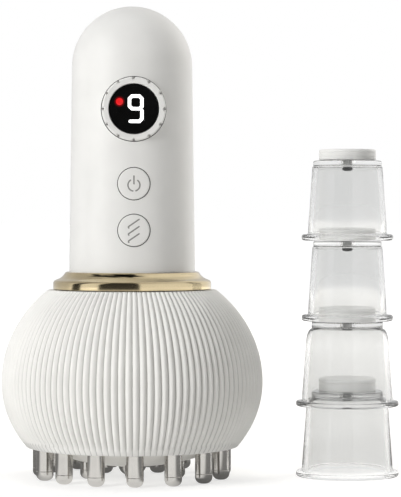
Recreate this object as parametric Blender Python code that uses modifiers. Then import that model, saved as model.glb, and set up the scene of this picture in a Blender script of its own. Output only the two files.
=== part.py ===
"""Electric cupping massager: a ribbed head on contact pins, a suction handle and four nesting cups.

Metres, +Z up. The origin lies on the surface the object stands on, under the middle of its box.
The front, with the display and the two buttons, faces -Y. The cups stand nested at +X.
"""
import math
from collections import namedtuple

import bmesh
import bpy
from mathutils import Matrix

# Fits and cuts
FIT = 0.0003
OVERRUN = 0.002
MERGE = 0.00001

# Head: bulb shell
BULB_RADIUS = 0.0522
BULB_EQUATOR = 0.0384
BULB_RISE = 0.0479
BULB_DROP = 0.0440
BULB_WALL = 0.0024
NECK_STEP = 0.002075
RIB_COUNT = 116
RIB_DEPTH = 0.0006
LIP_DROP = 0.0012
LIP_BAND = 0.0022
LIP_WIDTH = 0.0007
RISE_STEPS = 3
DROP_STEPS = 3

# Head: pin plate and contact pins
PLATE_INSET = 0.0027
PLATE_CENTRE = 0.0042
PLATE_BULGE = 0.0094
PLATE_WALL = 0.0044
PLATE_LAND = 0.0062
PLATE_BOSS_MARGIN = 0.0005
PLATE_BOSS_RISE = 0.0007
PIN_RADIUS = 0.0034
PIN_TIP_RADIUS = 0.0009
PIN_POCKET = 0.0003
PIN_MARGIN = 0.0012
OUTER_PINS = 15
INNER_PINS = 5
INNER_PIN_CIRCLE = 0.0184
POST_RADIUS = 0.0057
POST_TIP = 0.0006
POST_POCKET = 0.0022

# Head: drive and fittings
HEATER_GAP = 0.0020
HEATER_MARGIN = 0.0102
HEATER_THICKNESS = 0.0010
VIBRATOR_RADIUS = 0.0090
VIBRATOR_HEIGHT = 0.0200
VIBRATOR_SHAFT_RADIUS = 0.0015
WEIGHT_RADIUS = 0.0120
WEIGHT_HUB_RADIUS = 0.0040
WEIGHT_HEIGHT = 0.0080
WEIGHT_GAP = 0.0010
MAGNET_INSET = 0.0051
MAGNET_WIDTH = 0.0070
MAGNET_HEIGHT = 0.0040
SOCKET_WALL = 0.0016
SOCKET_FLANGE = 0.0012
SOCKET_FLANGE_WIDTH = 0.0029

# Trim ring
RING_FLARE = 0.0061
RING_BAND = 0.0029
RING_HEIGHT = 0.0069
RING_LIP = 0.0011

# Handle: casing
HANDLE_FOOT_RADIUS = 0.0252
HANDLE_TAPER = 0.0012
HANDLE_WALL = 0.0020
HANDLE_HEIGHT = 0.1257
SLEEVE_SINK = 0.0020
FOOT_DEPTH = 0.0150
FOOT_CHAMFER = 0.0010
FOOT_FLOOR = 0.0024
SPIGOT_HEIGHT = 0.0050
SPIGOT_WALL = 0.0024
DOCK_CLEARANCE = 0.0011
DOCK_HEADROOM = 0.0024
NOZZLE_RADIUS = 0.0030
NOZZLE_BORE = 0.0012
NOZZLE_FLANGE = 0.0015
NOZZLE_FLANGE_HEIGHT = 0.0012
NOZZLE_LENGTH = 0.0066
DOME_STEPS = 5

# Handle: display
BEZEL_RADIUS = 0.0125
BEZEL_BAND = 0.0029
BEZEL_PROUD = 0.0010
BEZEL_CHAMFER = 0.0007
BEZEL_NOTCHES = 12
BEZEL_NOTCH_RADIUS = 0.0005
BEZEL_NOTCH_DEPTH = 0.0008
LENS_RECESS = 0.0004
LENS_THICKNESS = 0.0012

# Handle: buttons and switches; the shares divide the barrel's length that the controls leave free
BUTTON_RADIUS = 0.0062
BUTTON_PROUD = 0.0004
BUTTON_TRAVEL = 0.0007
BUTTON_FLANGE = 0.0010
BUTTON_FLANGE_THICKNESS = 0.0010
BUTTON_STEM = 0.0006
BUTTON_STEM_RADIUS = 0.0018
CONTROL_GAP_SHARE = 0.325
BUTTON_GAP_SHARE = 0.181
SWITCH_WIDTH = 0.0060
SWITCH_DEPTH = 0.0025
SWITCH_PLUNGER_RADIUS = 0.0016
SWITCH_PLUNGER = 0.0008

# Handle: inner frame and board
CHASSIS_STEP = 0.0010
CHASSIS_PLATE = 0.0018
CHASSIS_RAIL = 0.0010
RAIL_HEIGHT = 0.0020
SHELF_THICKNESS = 0.0016
SHELF_CLEARANCE = 0.0040
TOP_SHELF_RISE = 0.0079
PUMP_SHELF_CLEARANCE = 0.0021
BOARD_CLEARANCE = 0.0022
BOARD_THICKNESS = 0.0016
BOARD_LEDGE = 0.0010

# Handle: suction pump, battery and charging
PUMP_WIDTH = 0.0220
PUMP_DEPTH = 0.0180
PUMP_HEIGHT = 0.0122
PUMP_ROUNDING = 0.0015
PUMP_INLET_X = 0.0050
PUMP_INLET_RADIUS = 0.0020
PUMP_INLET_LENGTH = 0.0028
CRANK_RADIUS = 0.0052
CRANK_THROW = 0.0012
CRANK_HEIGHT = 0.0030
CRANK_GAP = 0.0010
MOTOR_RADIUS = 0.0090
MOTOR_HEIGHT = 0.0190
MOTOR_SHAFT_RADIUS = 0.0010
BATTERY_RADIUS = 0.0091
BATTERY_GAP = 0.00118
BATTERY_TIP_RADIUS = 0.0030
BATTERY_TIP = 0.0010
HOSE_RADIUS = 0.0022
VALVE_WIDTH = 0.0080
VALVE_HEIGHT = 0.0120
VALVE_GAP = 0.0035
VALVE_HEADROOM = 0.0021
PORT_WIDTH = 0.0090
PORT_HEIGHT = 0.0034
PORT_WALL = 0.0004
PORT_RECESS = 0.00042
PORT_GAP = 0.0036

# Cups, four in a nested stack beside the head
STACK_GAP = 0.0137
CUP_WALL = 0.0018
STEM_RADIUS = 0.0018
VALVE_BULB_RADIUS = 0.0021
CAP_CHAMFER = 0.0008
CAP_GROOVE = 0.0003

LARGE_CAP_RADIUS = 0.0115
LARGE_CAP_HEIGHT = 0.0049
LARGE_COLLAR_LEDGE = 0.0029
LARGE_COLLAR_HEIGHT = 0.0029
LARGE_SHOULDER_STEP = 0.0023
LARGE_SHOULDER_RISE = 0.0069
LARGE_SHOULDER_HEIGHT = 0.0240
LARGE_TAPER = 0.0016
LARGE_RIM_STEP = 0.0023
LARGE_RIM_THICKNESS = 0.0020
LARGE_MOUTH_WALL = 0.0017
LARGE_BULB_HEIGHT = 0.0024

SMALL_CAP_INSET = 0.0019
SMALL_CAP_HEIGHT = 0.0043
SMALL_BORE_CLEARANCE = 0.0018
SMALL_COLLAR_HEIGHT = 0.0023
SMALL_SHOULDER_STEP = 0.0004
SMALL_SHOULDER_RISE = 0.0004
SMALL_SHOULDER_HEIGHT = 0.0293
SMALL_TAPER = 0.0018
SMALL_RIM_STEP = 0.0025
SMALL_RIM_THICKNESS = 0.0025
SMALL_MOUTH_WALL = 0.0026
SMALL_BULB_HEIGHT = 0.0016

# Facets of the turned pieces
ROUND_STEPS = 32
CUP_STEPS = 22
CAP_STEPS = 20
SMALL_STEPS = 16
PIN_STEPS = 10
NOTCH_STEPS = 4
SHARP_ANGLE = math.radians(35)


def chord(radius, offset):
    """Half the width of a circle at a distance from its middle."""
    return math.sqrt(radius ** 2 - offset ** 2)


def sleeve_radius(height):
    """Outer radius of the handle's tapered barrel."""
    return HANDLE_FOOT_RADIUS - HANDLE_TAPER * (height - SLEEVE_FOOT) / (DOME_CENTRE - SLEEVE_FOOT)


def button_back(height):
    """Where the back of a button's flange lies behind the barrel's wall, out from the barrel's axis."""
    inside = chord(sleeve_radius(height) - HANDLE_WALL, BUTTON_RADIUS + BUTTON_FLANGE)
    return inside - FIT - BUTTON_FLANGE_THICKNESS


# Cups: each radius follows from the cap, which the handle's dock and the small cups' mouths clear
LARGE_COLLAR_RADIUS = LARGE_CAP_RADIUS + LARGE_COLLAR_LEDGE
LARGE_SHOULDER_RADIUS = LARGE_COLLAR_RADIUS + LARGE_SHOULDER_STEP
LARGE_FOOT_RADIUS = LARGE_SHOULDER_RADIUS + LARGE_TAPER
LARGE_RIM_RADIUS = LARGE_FOOT_RADIUS + LARGE_RIM_STEP
LARGE_RIM_BORE = LARGE_FOOT_RADIUS - LARGE_MOUTH_WALL
LARGE_COLLAR_FOOT = LARGE_SHOULDER_HEIGHT + LARGE_SHOULDER_RISE
LARGE_TOP = LARGE_COLLAR_FOOT + LARGE_COLLAR_HEIGHT
SMALL_RIM_BORE = LARGE_CAP_RADIUS + SMALL_BORE_CLEARANCE
SMALL_CAP_RADIUS = SMALL_RIM_BORE - SMALL_CAP_INSET
SMALL_FOOT_RADIUS = SMALL_RIM_BORE + SMALL_MOUTH_WALL
SMALL_RIM_RADIUS = SMALL_FOOT_RADIUS + SMALL_RIM_STEP
SMALL_SHOULDER_RADIUS = SMALL_FOOT_RADIUS - SMALL_TAPER
SMALL_COLLAR_RADIUS = SMALL_SHOULDER_RADIUS - SMALL_SHOULDER_STEP
SMALL_COLLAR_FOOT = SMALL_SHOULDER_HEIGHT + SMALL_SHOULDER_RISE
SMALL_TOP = SMALL_COLLAR_FOOT + SMALL_COLLAR_HEIGHT
STACK_OFFSET = BULB_RADIUS + STACK_GAP + LARGE_RIM_RADIUS
DEVICE_X = -(STACK_OFFSET + LARGE_RIM_RADIUS - BULB_RADIUS) / 2
STACK_X = DEVICE_X + STACK_OFFSET

# Radii of what fits round the handle's foot, and of what fits the bulb's foot
SOCKET_BORE = HANDLE_FOOT_RADIUS + FIT
SOCKET_RADIUS = SOCKET_BORE + SOCKET_WALL
MAGNET_OUTER = SOCKET_RADIUS - MAGNET_INSET
MAGNET_INNER = MAGNET_OUTER - MAGNET_WIDTH
RING_RADIUS = SOCKET_BORE + RING_FLARE
LIP_HEIGHT = PLATE_CENTRE + PLATE_BULGE - LIP_DROP
RIB_FOOT = LIP_HEIGHT + LIP_BAND
PLATE_RADIUS = BULB_RADIUS * chord(1, (BULB_EQUATOR - RIB_FOOT) / BULB_DROP) - PLATE_INSET
OUTER_PIN_CIRCLE = PLATE_RADIUS - PIN_MARGIN - PIN_RADIUS
PLATE_BOSS_RADIUS = VIBRATOR_RADIUS + PLATE_BOSS_MARGIN
HEATER_INNER = PLATE_BOSS_RADIUS + HEATER_GAP
HEATER_OUTER = PLATE_RADIUS - HEATER_MARGIN

# Heights, from the head up to the handle's dome
VIBRATOR_BOTTOM = PLATE_CENTRE + PLATE_WALL + PLATE_BOSS_RISE + FIT
WEIGHT_BOTTOM = VIBRATOR_BOTTOM + VIBRATOR_HEIGHT + WEIGHT_GAP
BULB_TOP = BULB_EQUATOR + BULB_RISE * chord(1, (RING_RADIUS + NECK_STEP) / BULB_RADIUS)
RING_BOTTOM = BULB_TOP + FIT
SLEEVE_FOOT = RING_BOTTOM + SLEEVE_SINK
SLEEVE_RIM = SLEEVE_FOOT - FIT
FOOT_BOTTOM = SLEEVE_FOOT - FOOT_DEPTH
SOCKET_FLOOR = FOOT_BOTTOM - FIT
DOCK_RADIUS = LARGE_CAP_RADIUS + DOCK_CLEARANCE
DOCK_CEILING = FOOT_BOTTOM + LARGE_CAP_HEIGHT + DOCK_HEADROOM
FOOT_INSIDE = DOCK_CEILING + FOOT_FLOOR
HANDLE_TOP = FOOT_BOTTOM + HANDLE_HEIGHT
HANDLE_DOME_RADIUS = HANDLE_FOOT_RADIUS - HANDLE_TAPER
DOME_CENTRE = HANDLE_TOP - HANDLE_DOME_RADIUS
PUMP_SHELF_HEIGHT = FOOT_INSIDE + FIT + VALVE_HEIGHT + VALVE_HEADROOM
PUMP_BOTTOM = PUMP_SHELF_HEIGHT + SHELF_THICKNESS + FIT
CRANK_BOTTOM = PUMP_BOTTOM + PUMP_HEIGHT + CRANK_GAP
MOTOR_SHELF_HEIGHT = CRANK_BOTTOM + CRANK_HEIGHT + CRANK_GAP
MOTOR_BOTTOM = MOTOR_SHELF_HEIGHT + SHELF_THICKNESS + FIT
BATTERY_SHELF_HEIGHT = MOTOR_BOTTOM + MOTOR_HEIGHT + FIT
BATTERY_BOTTOM = BATTERY_SHELF_HEIGHT + SHELF_THICKNESS + FIT
TOP_SHELF_HEIGHT = DOME_CENTRE + TOP_SHELF_RISE
BATTERY_HEIGHT = TOP_SHELF_HEIGHT - FIT - BATTERY_TIP - BATTERY_BOTTOM

# Heights of the controls, which share what the barrel has free between the ring and the dome
BARREL_START = RING_BOTTOM + RING_HEIGHT
BARREL_FREE = DOME_CENTRE - BARREL_START - 2 * (BUTTON_RADIUS + BUTTON_RADIUS + BEZEL_RADIUS)
MODE_BUTTON_HEIGHT = BARREL_START + CONTROL_GAP_SHARE * BARREL_FREE + BUTTON_RADIUS
POWER_BUTTON_HEIGHT = MODE_BUTTON_HEIGHT + 2 * BUTTON_RADIUS + BUTTON_GAP_SHARE * BARREL_FREE
DISPLAY_HEIGHT = POWER_BUTTON_HEIGHT + BUTTON_RADIUS + CONTROL_GAP_SHARE * BARREL_FREE + BEZEL_RADIUS
BEZEL_WINDOW = BEZEL_RADIUS - BEZEL_BAND
BOARD_BOTTOM = MODE_BUTTON_HEIGHT - BUTTON_RADIUS - BOARD_LEDGE
BOARD_TOP = DISPLAY_HEIGHT + BEZEL_RADIUS + BOARD_LEDGE

# Depths in the handle, from the buttons back to the pump and the battery
SWITCH_TIP = button_back(POWER_BUTTON_HEIGHT) - BUTTON_STEM - BUTTON_TRAVEL - FIT
BOARD_FRONT = SWITCH_PLUNGER + SWITCH_DEPTH + FIT - SWITCH_TIP
BOARD_BACK = BOARD_FRONT + BOARD_THICKNESS
CHASSIS_FRONT = BOARD_BACK + FIT + CHASSIS_RAIL
CHASSIS_BACK = CHASSIS_FRONT + CHASSIS_PLATE
DRIVE_Y = CHASSIS_BACK + BATTERY_GAP + BATTERY_RADIUS

# Widths in the handle, from the barrel's inside, and what stands at its rear wall
BOARD_WIDTH = 2 * (chord(sleeve_radius(BOARD_TOP) - HANDLE_WALL, BOARD_FRONT) - BOARD_CLEARANCE)
CHASSIS_WIDTH = BOARD_WIDTH - 2 * CHASSIS_STEP
DOME_INSIDE = chord(HANDLE_DOME_RADIUS - HANDLE_WALL, TOP_SHELF_RISE + SHELF_THICKNESS)
SHELF_REACH = chord(DOME_INSIDE, CHASSIS_WIDTH / 2) - SHELF_CLEARANCE
PUMP_SHELF_INSIDE = sleeve_radius(PUMP_SHELF_HEIGHT) - HANDLE_WALL
PUMP_SHELF_REACH = chord(PUMP_SHELF_INSIDE, CHASSIS_WIDTH / 2) - PUMP_SHELF_CLEARANCE
SPIGOT_RADIUS = HANDLE_FOOT_RADIUS - HANDLE_WALL - FIT
SPIGOT_BORE = SPIGOT_RADIUS - SPIGOT_WALL
VALVE_X = VALVE_GAP + VALVE_WIDTH / 2 - SPIGOT_BORE
PORT_MIDDLE = PUMP_BOTTOM + PORT_HEIGHT / 2
PORT_FRONT = sleeve_radius(PORT_MIDDLE) - PORT_RECESS
PORT_LENGTH = PORT_FRONT - PORT_GAP - PUMP_DEPTH / 2 - DRIVE_Y

Finish = namedtuple("Finish", "colour roughness metallic")
FINISHES = {
    "white_plastic": Finish((0.86, 0.85, 0.82), 0.30, 0.0),
    "bulb_plastic": Finish((0.90, 0.89, 0.86), 0.35, 0.0),
    "gold": Finish((0.83, 0.61, 0.30), 0.18, 1.0),
    "steel": Finish((0.72, 0.72, 0.73), 0.16, 1.0),
    "dark_metal": Finish((0.30, 0.30, 0.32), 0.35, 1.0),
    "copper": Finish((0.70, 0.38, 0.22), 0.40, 1.0),
    "black_glass": Finish((0.01, 0.01, 0.012), 0.06, 0.0),
    "black_plastic": Finish((0.03, 0.03, 0.03), 0.45, 0.0),
    "board_green": Finish((0.03, 0.18, 0.08), 0.50, 0.0),
    "cell_blue": Finish((0.05, 0.16, 0.42), 0.35, 0.0),
    "hose_rubber": Finish((0.75, 0.75, 0.72), 0.55, 0.0),
    "clear_plastic": Finish((0.80, 0.82, 0.83), 0.05, 0.0),
    "black_rubber": Finish((0.02, 0.02, 0.02), 0.60, 0.0),
}


def clear_scene():
    """Empties the scene of the objects it opens with."""
    for stray in list(bpy.data.objects):
        bpy.data.objects.remove(stray, do_unlink=True)


def add_collection(name):
    """A collection under the scene's own."""
    group = bpy.data.collections.new(name)
    bpy.context.scene.collection.children.link(group)
    return group


clear_scene()
PARTS = add_collection("cupping_massager")
CUTTERS = add_collection("cutters")


def material(name):
    """The named finish as a material, made once."""
    found = bpy.data.materials.get(name)
    if found:
        return found
    finish = FINISHES[name]
    made = bpy.data.materials.new(name)
    made.use_nodes = True
    shader = made.node_tree.nodes["Principled BSDF"]
    shader.inputs["Base Color"].default_value = (*finish.colour, 1.0)
    shader.inputs["Roughness"].default_value = finish.roughness
    shader.inputs["Metallic"].default_value = finish.metallic
    made.diffuse_color = (*finish.colour, 1.0)
    return made


def smooth(mesh):
    """Shades a mesh smooth but for its sharp edges."""
    mesh.shade_smooth()
    mesh.set_sharp_from_angle(angle=SHARP_ANGLE)


def place(name, mesh, parent, location=(0, 0, 0), rotation=(0, 0, 0), finish=None):
    """Puts a mesh in the scene: a part where it has a finish, and a cutter where it has none."""
    made = bpy.data.objects.new(name, mesh)
    (PARTS if finish else CUTTERS).objects.link(made)
    made.parent = parent
    made.location = location
    made.rotation_euler = rotation
    if finish:
        mesh.materials.clear()
        mesh.materials.append(material(finish))
    else:
        made.hide_render = True
        made.display_type = 'WIRE'
    return made


def axis_empty(name, location, parent=None):
    """An empty that marks an axis which pieces turn or slide on."""
    marker = bpy.data.objects.new(name, None)
    marker.empty_display_size = PIN_RADIUS
    PARTS.objects.link(marker)
    marker.parent = parent
    marker.location = location
    return marker


def settled_mesh(source, name):
    """The source object's shape with its modifiers, as a mesh; the source is removed."""
    bpy.context.view_layer.update()
    depsgraph = bpy.context.evaluated_depsgraph_get()
    mesh = bpy.data.meshes.new_from_object(source.evaluated_get(depsgraph))
    mesh.name = name
    bpy.data.objects.remove(source, do_unlink=True)
    return mesh


def turned_mesh(name, profile, steps, closed=False, wall=0):
    """Turns a profile of (radius, height) points about Z; a wall thickens an open one inwards."""
    outline = bpy.data.meshes.new(name + "_outline")
    points = [(radius, 0, height) for radius, height in profile]
    edges = [(at, at + 1) for at in range(len(points) - 1)]
    if closed:
        edges.append((len(points) - 1, 0))
    outline.from_pydata(points, edges, [])
    lathe = bpy.data.objects.new(name + "_lathe", outline)
    CUTTERS.objects.link(lathe)
    screw = lathe.modifiers.new("turn", 'SCREW')
    screw.axis = 'Z'
    screw.angle = math.tau
    screw.steps = steps
    screw.render_steps = steps
    screw.use_merge_vertices = True
    screw.merge_threshold = MERGE
    if wall:
        shell = lathe.modifiers.new("wall", 'SOLIDIFY')
        shell.thickness = wall
        shell.offset = -1
    mesh = settled_mesh(lathe, name)
    smooth(mesh)
    return mesh


def turned(name, profile, steps, parent, finish=None, closed=False, wall=0, **where):
    """A turned piece in the scene."""
    return place(name, turned_mesh(name, profile, steps, closed, wall), parent, finish=finish, **where)


def box_mesh(name, size, rounding=0):
    """A box about its own middle, its edges rounded where a radius is given."""
    bm = bmesh.new()
    bmesh.ops.create_cube(bm, size=1, matrix=Matrix.Diagonal((*size, 1)))
    mesh = bpy.data.meshes.new(name)
    bm.to_mesh(mesh)
    bm.free()
    if rounding:
        block = bpy.data.objects.new(name + "_block", mesh)
        CUTTERS.objects.link(block)
        bevel = block.modifiers.new("rounding", 'BEVEL')
        bevel.width = rounding
        bevel.segments = 2
        mesh = settled_mesh(block, name)
        smooth(mesh)
    return mesh


def rods_mesh(name, rods, steps):
    """Cylinders in one cutter: each has its (x, y) place, radius, bottom and top."""
    bm = bmesh.new()
    for (x, y), radius, bottom, top in rods:
        middle = Matrix.Translation((x, y, (bottom + top) / 2))
        bmesh.ops.create_cone(bm, cap_ends=True, segments=steps, radius1=radius, radius2=radius,
                              depth=top - bottom, matrix=middle)
    mesh = bpy.data.meshes.new(name)
    bm.to_mesh(mesh)
    bm.free()
    return mesh


def boolean(target, other, operation='DIFFERENCE'):
    """Cuts, joins or crosses the target with the other object."""
    step = target.modifiers.new(other.name, 'BOOLEAN')
    step.operation = operation
    step.solver = 'EXACT'
    step.object = other
    return target


def flat_outline(name, outlines, thickness, parent, finish=None, **where):
    """A flat piece: closed (x, y) outlines, filled, as thick as stated, about its own middle."""
    curve = bpy.data.curves.new(name, 'CURVE')
    curve.dimensions = '2D'
    curve.fill_mode = 'BOTH'
    curve.extrude = thickness / 2
    for outline in outlines:
        spline = curve.splines.new('POLY')
        spline.points.add(len(outline) - 1)
        for point, (x, y) in zip(spline.points, outline):
            point.co = (x, y, 0, 1)
        spline.use_cyclic_u = True
    drawn = bpy.data.objects.new(name + "_drawn", curve)
    CUTTERS.objects.link(drawn)
    mesh = settled_mesh(drawn, name)
    bm = bmesh.new()
    bm.from_mesh(mesh)
    bmesh.ops.remove_doubles(bm, verts=bm.verts, dist=MERGE)
    bm.to_mesh(mesh)
    bm.free()
    return place(name, mesh, parent, finish=finish, **where)


def arc(radius, start, end, steps, centre=(0, 0)):
    """Points along an arc, its ends included."""
    angles = [start + (end - start) * at / steps for at in range(steps + 1)]
    return [(centre[0] + radius * math.cos(angle), centre[1] + radius * math.sin(angle)) for angle in angles]


def ring_places(circle, count):
    """Places on a circle, the first at the front."""
    turns = [math.tau * at / count - math.pi / 2 for at in range(count)]
    return [(circle * math.cos(turn), circle * math.sin(turn)) for turn in turns]


def bulb_curve(radius, rise, drop, top, foot):
    """The bulb's outline from a top height down to a foot height, on two half ellipses."""
    high = math.asin((top - BULB_EQUATOR) / rise)
    low = math.asin((BULB_EQUATOR - foot) / drop)
    upper = [high * (1 - at / RISE_STEPS) for at in range(RISE_STEPS)]
    lower = [low * at / DROP_STEPS for at in range(DROP_STEPS + 1)]
    points = [(radius * math.cos(lean), BULB_EQUATOR + rise * math.sin(lean)) for lean in upper]
    points += [(radius * math.cos(lean), BULB_EQUATOR - drop * math.sin(lean)) for lean in lower]
    return points


def plate_under(radius):
    """Height of the pin plate's bulging underside at a distance from its axis."""
    return PLATE_CENTRE + PLATE_BULGE * (radius / PLATE_RADIUS) ** 2


def plate_over(radius):
    """Height of the pin plate's upper side."""
    return plate_under(radius) + PLATE_WALL


def carve_ribs(mesh):
    """Draws in every other column of the bulb's surface, so that ribs stand between grooves."""
    columns = 2 * RIB_COUNT
    bm = bmesh.new()
    bm.from_mesh(mesh)
    poles = [vertex for vertex in bm.verts if vertex.co.xy.length < MERGE]
    bmesh.ops.dissolve_verts(bm, verts=poles)
    for vertex in bm.verts:
        column = round(math.atan2(vertex.co.y, vertex.co.x) / math.tau * columns)
        if column % 2 and vertex.co.z > RIB_FOOT + MERGE:
            vertex.co.xy *= 1 - RIB_DEPTH / vertex.co.xy.length
    bm.to_mesh(mesh)
    bm.free()


def head_shell(device):
    """The ribbed bulb: the piece that takes the most skill, with its ribs drawn along the curve."""
    ribs = bulb_curve(BULB_RADIUS, BULB_RISE, BULB_DROP, BULB_TOP, RIB_FOOT)
    opening = PLATE_RADIUS + FIT
    outside = [(0, BULB_TOP), *ribs, (opening + LIP_WIDTH, LIP_HEIGHT), (0, LIP_HEIGHT)]
    shell = turned("head_shell", outside, 2 * RIB_COUNT, device, "bulb_plastic")
    carve_ribs(shell.data)
    roof = BULB_TOP - BULB_WALL
    land = LIP_HEIGHT + PLATE_LAND
    inside = bulb_curve(BULB_RADIUS - BULB_WALL, BULB_RISE - BULB_WALL, BULB_DROP - BULB_WALL, roof, land)
    mouth = SOCKET_RADIUS + FIT
    cavity = [(0, BULB_TOP + OVERRUN), (mouth, BULB_TOP + OVERRUN), (mouth, roof), *inside,
              (opening, land), (opening, LIP_HEIGHT - OVERRUN), (0, LIP_HEIGHT - OVERRUN)]
    boolean(shell, turned("head_cavity", cavity, ROUND_STEPS, device))
    return shell


def pin_plate(device):
    """The bulging plate under the head, with a blind pocket for each pin and the centre post."""
    shares = [1, 0.75, 0.5, 0.25]
    boss = PLATE_CENTRE + PLATE_WALL + PLATE_BOSS_RISE
    over = [(PLATE_RADIUS * share, plate_over(PLATE_RADIUS * share)) for share in reversed(shares)]
    under = [(PLATE_RADIUS * share, plate_under(PLATE_RADIUS * share)) for share in shares]
    outline = [(0, boss), (PLATE_BOSS_RADIUS, boss), (PLATE_BOSS_RADIUS, plate_over(PLATE_BOSS_RADIUS)),
               *over, *under, (0, PLATE_CENTRE)]
    plate = turned("pin_plate", outline, ROUND_STEPS, device, "white_plastic")
    rods = [(spot, PIN_RADIUS + FIT, -OVERRUN, pin_seat(OUTER_PIN_CIRCLE))
            for spot in ring_places(OUTER_PIN_CIRCLE, OUTER_PINS)]
    rods += [(spot, PIN_RADIUS + FIT, -OVERRUN, pin_seat(INNER_PIN_CIRCLE))
             for spot in ring_places(INNER_PIN_CIRCLE, INNER_PINS)]
    boolean(plate, place("pin_pockets", rods_mesh("pin_pockets", rods, PIN_STEPS), device))
    post = [((0, 0), POST_RADIUS + FIT, -OVERRUN, post_seat())]
    boolean(plate, place("post_pocket", rods_mesh("post_pocket", post, SMALL_STEPS), device))
    return plate


def pin_seat(circle):
    """Height of the pocket floors on a circle of pins, just over the plate's underside there."""
    return plate_under(circle + PIN_RADIUS + FIT) + PIN_POCKET


def post_seat():
    """Height of the centre post's pocket floor."""
    return plate_under(POST_RADIUS + FIT) + POST_POCKET


def domed_pin(name, radius, tip, top, flat, steps):
    """A round pin that ends in a dome with a small flat; top is its seat."""
    crown = [(radius * math.cos(lean), tip + radius * (1 - math.sin(lean)))
             for lean in (0, math.radians(45))]
    outline = [(0, top), (radius, top), *crown, (flat, tip), (0, tip)]
    return turned_mesh(name, outline, steps)


def contact_pins(device):
    """Two rings of steel pins and the centre post, each seated in its pocket."""
    for label, circle, count in (("outer_pin_{:02d}", OUTER_PIN_CIRCLE, OUTER_PINS),
                                 ("inner_pin_{}", INNER_PIN_CIRCLE, INNER_PINS)):
        top = pin_seat(circle) - FIT
        shape = domed_pin(label.format(0), PIN_RADIUS, 0, top, PIN_TIP_RADIUS, PIN_STEPS)
        for number, (x, y) in enumerate(ring_places(circle, count), start=1):
            place(label.format(number), shape, device, location=(x, y, 0), finish="steel")
    shape = domed_pin("centre_post", POST_RADIUS, POST_TIP, post_seat() - FIT, PIN_TIP_RADIUS, SMALL_STEPS)
    place("centre_post", shape, device, finish="steel")


def head_drive(device):
    """Heating ring, vibration motor with its eccentric weight, and the magnet that holds the handle."""
    middle = (HEATER_INNER + HEATER_OUTER) / 2
    radii = [HEATER_INNER, middle, HEATER_OUTER]
    upper = [(radius, plate_over(radius) + FIT + HEATER_THICKNESS) for radius in radii]
    lower = [(radius, plate_over(radius) + FIT) for radius in reversed(radii)]
    turned("heating_ring", upper + lower, CAP_STEPS, device, "copper", closed=True)

    top = VIBRATOR_BOTTOM + VIBRATOR_HEIGHT
    shaft_top = WEIGHT_BOTTOM + WEIGHT_HEIGHT
    can = [(0, shaft_top), (VIBRATOR_SHAFT_RADIUS, shaft_top), (VIBRATOR_SHAFT_RADIUS, top),
           (VIBRATOR_RADIUS, top), (VIBRATOR_RADIUS, VIBRATOR_BOTTOM), (0, VIBRATOR_BOTTOM)]
    turned("vibration_motor", can, SMALL_STEPS, device, "steel")

    heavy_side = arc(WEIGHT_RADIUS, -math.pi / 2, math.pi / 2, SMALL_STEPS)
    hub_side = arc(WEIGHT_HUB_RADIUS, math.pi / 2, 3 * math.pi / 2, SMALL_STEPS // 2)
    bore = arc(VIBRATOR_SHAFT_RADIUS + FIT, 0, math.tau, SMALL_STEPS)[:-1]
    flat_outline("eccentric_weight", [heavy_side + hub_side, bore], WEIGHT_HEIGHT, device, "dark_metal",
                 location=(0, 0, WEIGHT_BOTTOM + WEIGHT_HEIGHT / 2))

    magnet_top = SOCKET_FLOOR - SOCKET_WALL - FIT
    magnet_bottom = magnet_top - MAGNET_HEIGHT
    magnet = [(MAGNET_OUTER, magnet_top), (MAGNET_OUTER, magnet_bottom),
              (MAGNET_INNER, magnet_bottom), (MAGNET_INNER, magnet_top)]
    turned("magnet_ring", magnet, CAP_STEPS, device, "dark_metal", closed=True)


def head_socket(device):
    """The cup in the head's mouth that takes the handle's foot; its flange lies on the bulb."""
    flange_top = RING_BOTTOM + SOCKET_FLANGE
    flange = SOCKET_RADIUS + SOCKET_FLANGE_WIDTH
    outline = [(0, SOCKET_FLOOR), (SOCKET_BORE, SOCKET_FLOOR), (SOCKET_BORE, flange_top),
               (flange, flange_top), (flange, RING_BOTTOM), (SOCKET_RADIUS, RING_BOTTOM),
               (SOCKET_RADIUS, SOCKET_FLOOR - SOCKET_WALL), (0, SOCKET_FLOOR - SOCKET_WALL)]
    turned("head_socket", outline, ROUND_STEPS, device, "white_plastic")


def gold_ring(device):
    """The trim ring: a plain band below, a hollow flare above, and a thin lip round the handle."""
    top = RING_BOTTOM + RING_HEIGHT
    band_top = RING_BOTTOM + RING_BAND
    lip = SOCKET_BORE + RING_LIP
    seat = SOCKET_RADIUS + SOCKET_FLANGE_WIDTH + FIT
    seat_top = RING_BOTTOM + SOCKET_FLANGE + FIT
    flare_shares = [(0.16, 0.30), (0.42, 0.62), (0.86, 0.84)]
    flare = [(lip + (RING_RADIUS - lip) * out, top - (top - band_top) * down) for out, down in flare_shares]
    outline = [(lip, top), *flare, (RING_RADIUS, band_top), (RING_RADIUS, RING_BOTTOM), (seat, RING_BOTTOM),
               (seat, seat_top), (SOCKET_BORE, seat_top), (SOCKET_BORE, top)]
    turned("gold_ring", outline, ROUND_STEPS, device, "gold", closed=True)


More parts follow.
